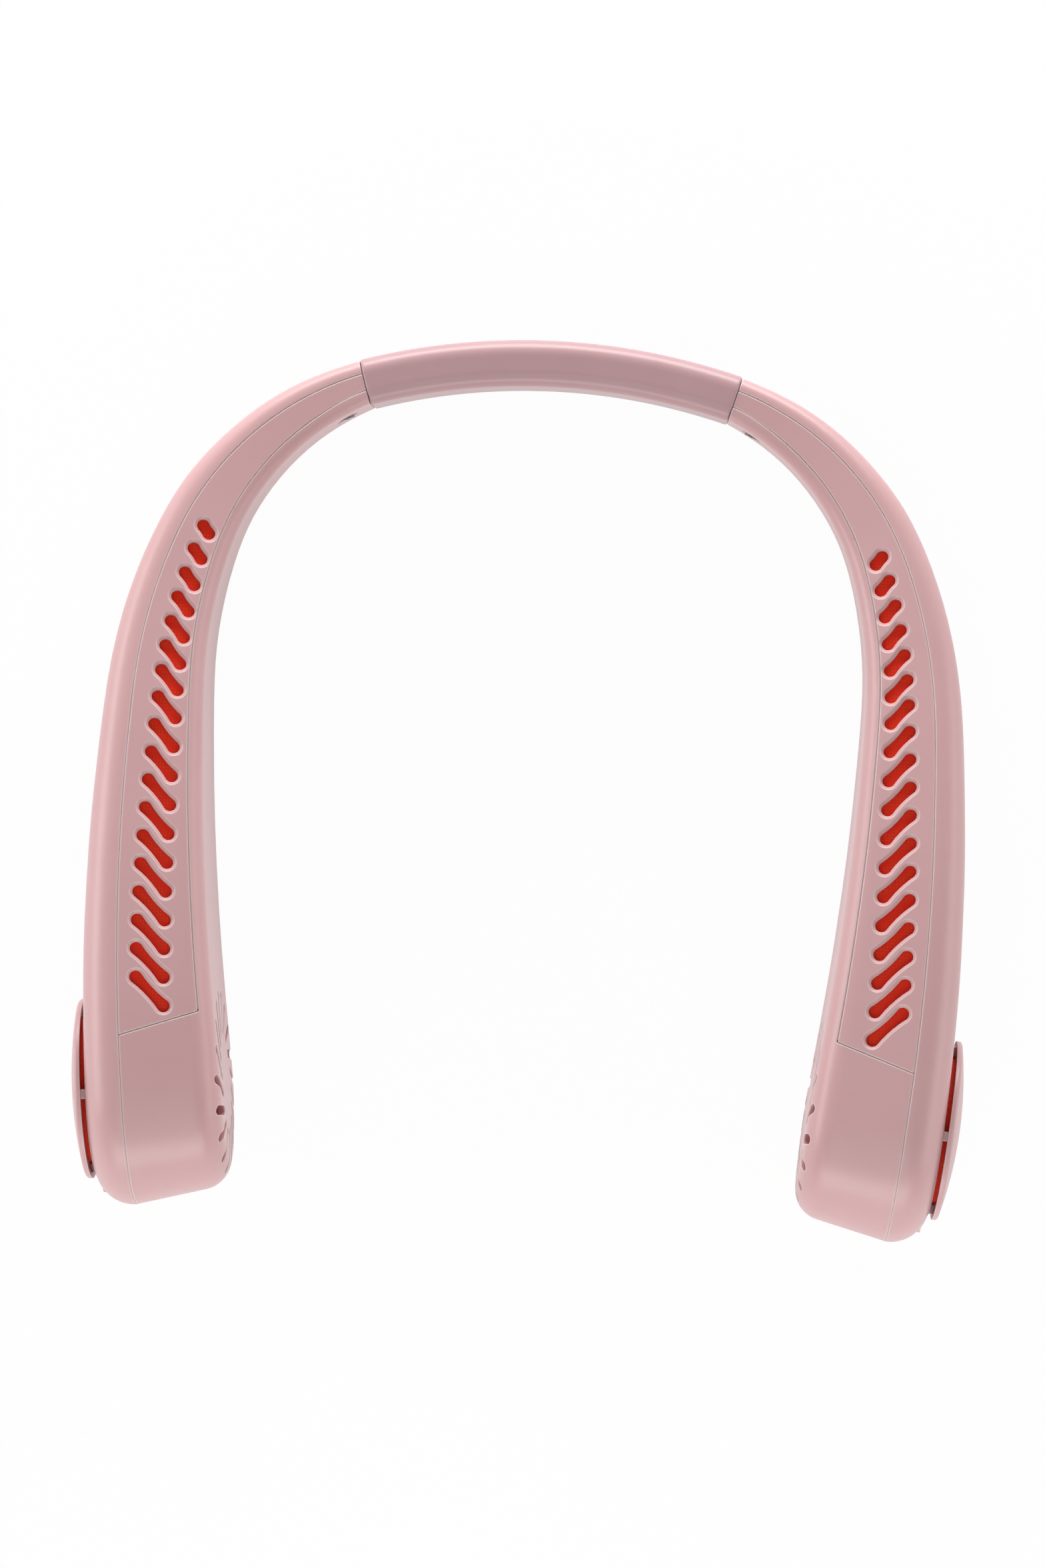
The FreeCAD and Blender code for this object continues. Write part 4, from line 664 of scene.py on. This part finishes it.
# Indicator lens: a clear bar pressed into the outer side below the button, lit from the board.
# Frosted polycarbonate: milky clear, with a fine etched face of about 0.3 mm grain.
lens, tree, shader = material("frosted polycarbonate", {"Base Color": linear("#F2EFEE"), "IOR": 1.58,
                                                         "Transmission Weight": 0.85})
place = add(tree, "ShaderNodeTexCoord")
frost = add(tree, "ShaderNodeTexNoise", {"Scale": 1 / (0.3 * MM), "Detail": 2.0},
            {"Vector": place.outputs["Object"]})
gloss = add(tree, "ShaderNodeMapRange", {"To Min": 0.25, "To Max": 0.4}, {"Value": frost.outputs["Fac"]})
tree.links.new(gloss.outputs["Result"], shader.inputs["Roughness"])
dress(lens, "indicator_lens")

# Floor: a wide pale sheet just under the fan, on which it lies and which takes its shadow.
# Its white share is what the eye and shiny surfaces see of it as plain white.
FLOOR_REACH = 2.5
FLOOR_DROP = 0.05 * MM
WHITE_SHARE = 0.96
# Matt card: near white to the eye and to shiny surfaces, while it still takes shadows.
card, tree, shader = material("matt white card", {"Base Color": linear("#F4F2F1"), "Roughness": 0.9})
rays = add(tree, "ShaderNodeLightPath")
seen = add(tree, "ShaderNodeMath", {"operation": "MAXIMUM"},
           {0: rays.outputs["Is Camera Ray"], 1: rays.outputs["Is Glossy Ray"]})
seen = add(tree, "ShaderNodeMath", {"operation": "MAXIMUM"},
           {0: seen.outputs[0], 1: rays.outputs["Is Transmission Ray"]})
share = add(tree, "ShaderNodeMath", {"operation": "MULTIPLY", 1: WHITE_SHARE}, {0: seen.outputs[0]})
white = add(tree, "ShaderNodeEmission", {"Color": linear("#FFFFFF"), "Strength": 1.0})
both = add(tree, "ShaderNodeMixShader", None,
           {"Fac": share.outputs[0], 1: shader.outputs["BSDF"], 2: white.outputs["Emission"]})
ending = [node for node in tree.nodes if node.type == "OUTPUT_MATERIAL"][0]
tree.links.new(both.outputs["Shader"], ending.inputs["Surface"])
mesh = bpy.data.meshes.new("floor")
corners = [(-FLOOR_REACH, -FLOOR_REACH, 0), (FLOOR_REACH, -FLOOR_REACH, 0),
           (FLOOR_REACH, FLOOR_REACH, 0), (-FLOOR_REACH, FLOOR_REACH, 0)]
mesh.from_pydata(corners, [], [(0, 1, 2, 3)])
floor = bpy.data.objects.new("floor", mesh)
floor.location.z = -FLOOR_DROP
bpy.context.scene.collection.objects.link(floor)
floor.data.materials.append(card)

# Studio light: a strong soft box past the nape, weaker ones past the tips, at each side and over the
# front, and a white room that lights the fan faintly. Each box has a place, a size in metres and a power.
ROOM_LIGHT = 0.27
world = bpy.data.worlds.new("white studio")
bpy.context.scene.world = world
world.use_nodes = True
tree = world.node_tree
tree.nodes.clear()
rays = add(tree, "ShaderNodeLightPath")
seen = add(tree, "ShaderNodeMath", {"operation": "MAXIMUM"},
           {0: rays.outputs["Is Camera Ray"], 1: rays.outputs["Is Transmission Ray"]})
level = add(tree, "ShaderNodeMapRange", {"To Min": ROOM_LIGHT, "To Max": 1.0}, {"Value": seen.outputs[0]})
air = add(tree, "ShaderNodeBackground", {"Color": linear("#FFFFFF")}, {"Strength": level.outputs["Result"]})
add(tree, "ShaderNodeOutputWorld", None, {"Surface": air.outputs["Background"]})

SOFT_BOXES = (
    ("nape_box", (0.0, 0.75, 0.16), (0.9, 0.3), 7.6),
    ("tip_box", (0.0, -0.75, 0.28), (0.9, 0.3), 3.2),
    ("right_box", (0.75, -0.05, 0.20), (0.8, 0.3), 1.6),
    ("left_box", (-0.75, 0.10, 0.20), (0.8, 0.3), 3.2),
    ("front_box", (0.0, -0.60, 1.10), (0.8, 0.8), 3.0),
)
for name, spot, (wide, tall), power in SOFT_BOXES:
    lamp = bpy.data.lights.new(name, "AREA")
    lamp.shape = "RECTANGLE"
    lamp.size = wide
    lamp.size_y = tall
    lamp.energy = power
    box = bpy.data.objects.new(name, lamp)
    box.location = spot
    box.rotation_euler = (-Vector(spot)).to_track_quat("-Z", "Y").to_euler()
    bpy.context.scene.collection.objects.link(box)

# Camera: square over the front and a little to the right, turned so that the U leans as photographed.
# A pixel of the frame is measured on the plane of the arms' fronts, and the centre pixel is where
# the middle of the fan falls.
FRAME_SIZE = (1568, 2352)
PIXEL = 0.1418 * MM
DISTANCE = 1200 * MM
FRONT_PLANE = 48 * MM
SENSOR = 36.0
LEAN = math.radians(2.7)
SWING = math.radians(1.5)
PITCH = math.radians(1.0)
CENTRE_PIXEL = (793, 1175)
to_camera = Vector((math.sin(SWING), math.sin(PITCH), math.cos(SWING))).normalized()
across = Vector((0, 1, 0)).cross(to_camera).normalized()
upward = to_camera.cross(across)
right = across * math.cos(LEAN) + upward * math.sin(LEAN)
top = upward * math.cos(LEAN) - across * math.sin(LEAN)
aim = (Vector((0, 0, FRONT_PLANE)) + right * (FRAME_SIZE[0] / 2 - CENTRE_PIXEL[0]) * PIXEL
       - top * (FRAME_SIZE[1] / 2 - CENTRE_PIXEL[1]) * PIXEL)
lens_data = bpy.data.cameras.new("camera")
lens_data.sensor_width = SENSOR
lens_data.lens = SENSOR * DISTANCE / (FRAME_SIZE[1] * PIXEL)
camera = bpy.data.objects.new("camera", lens_data)
spot = aim + to_camera * DISTANCE
camera.matrix_world = Matrix.LocRotScale(spot, Matrix((right, top, to_camera)).transposed(), None)
bpy.context.scene.collection.objects.link(camera)
bpy.context.scene.camera = camera
bpy.context.scene.view_settings.view_transform = "Standard"
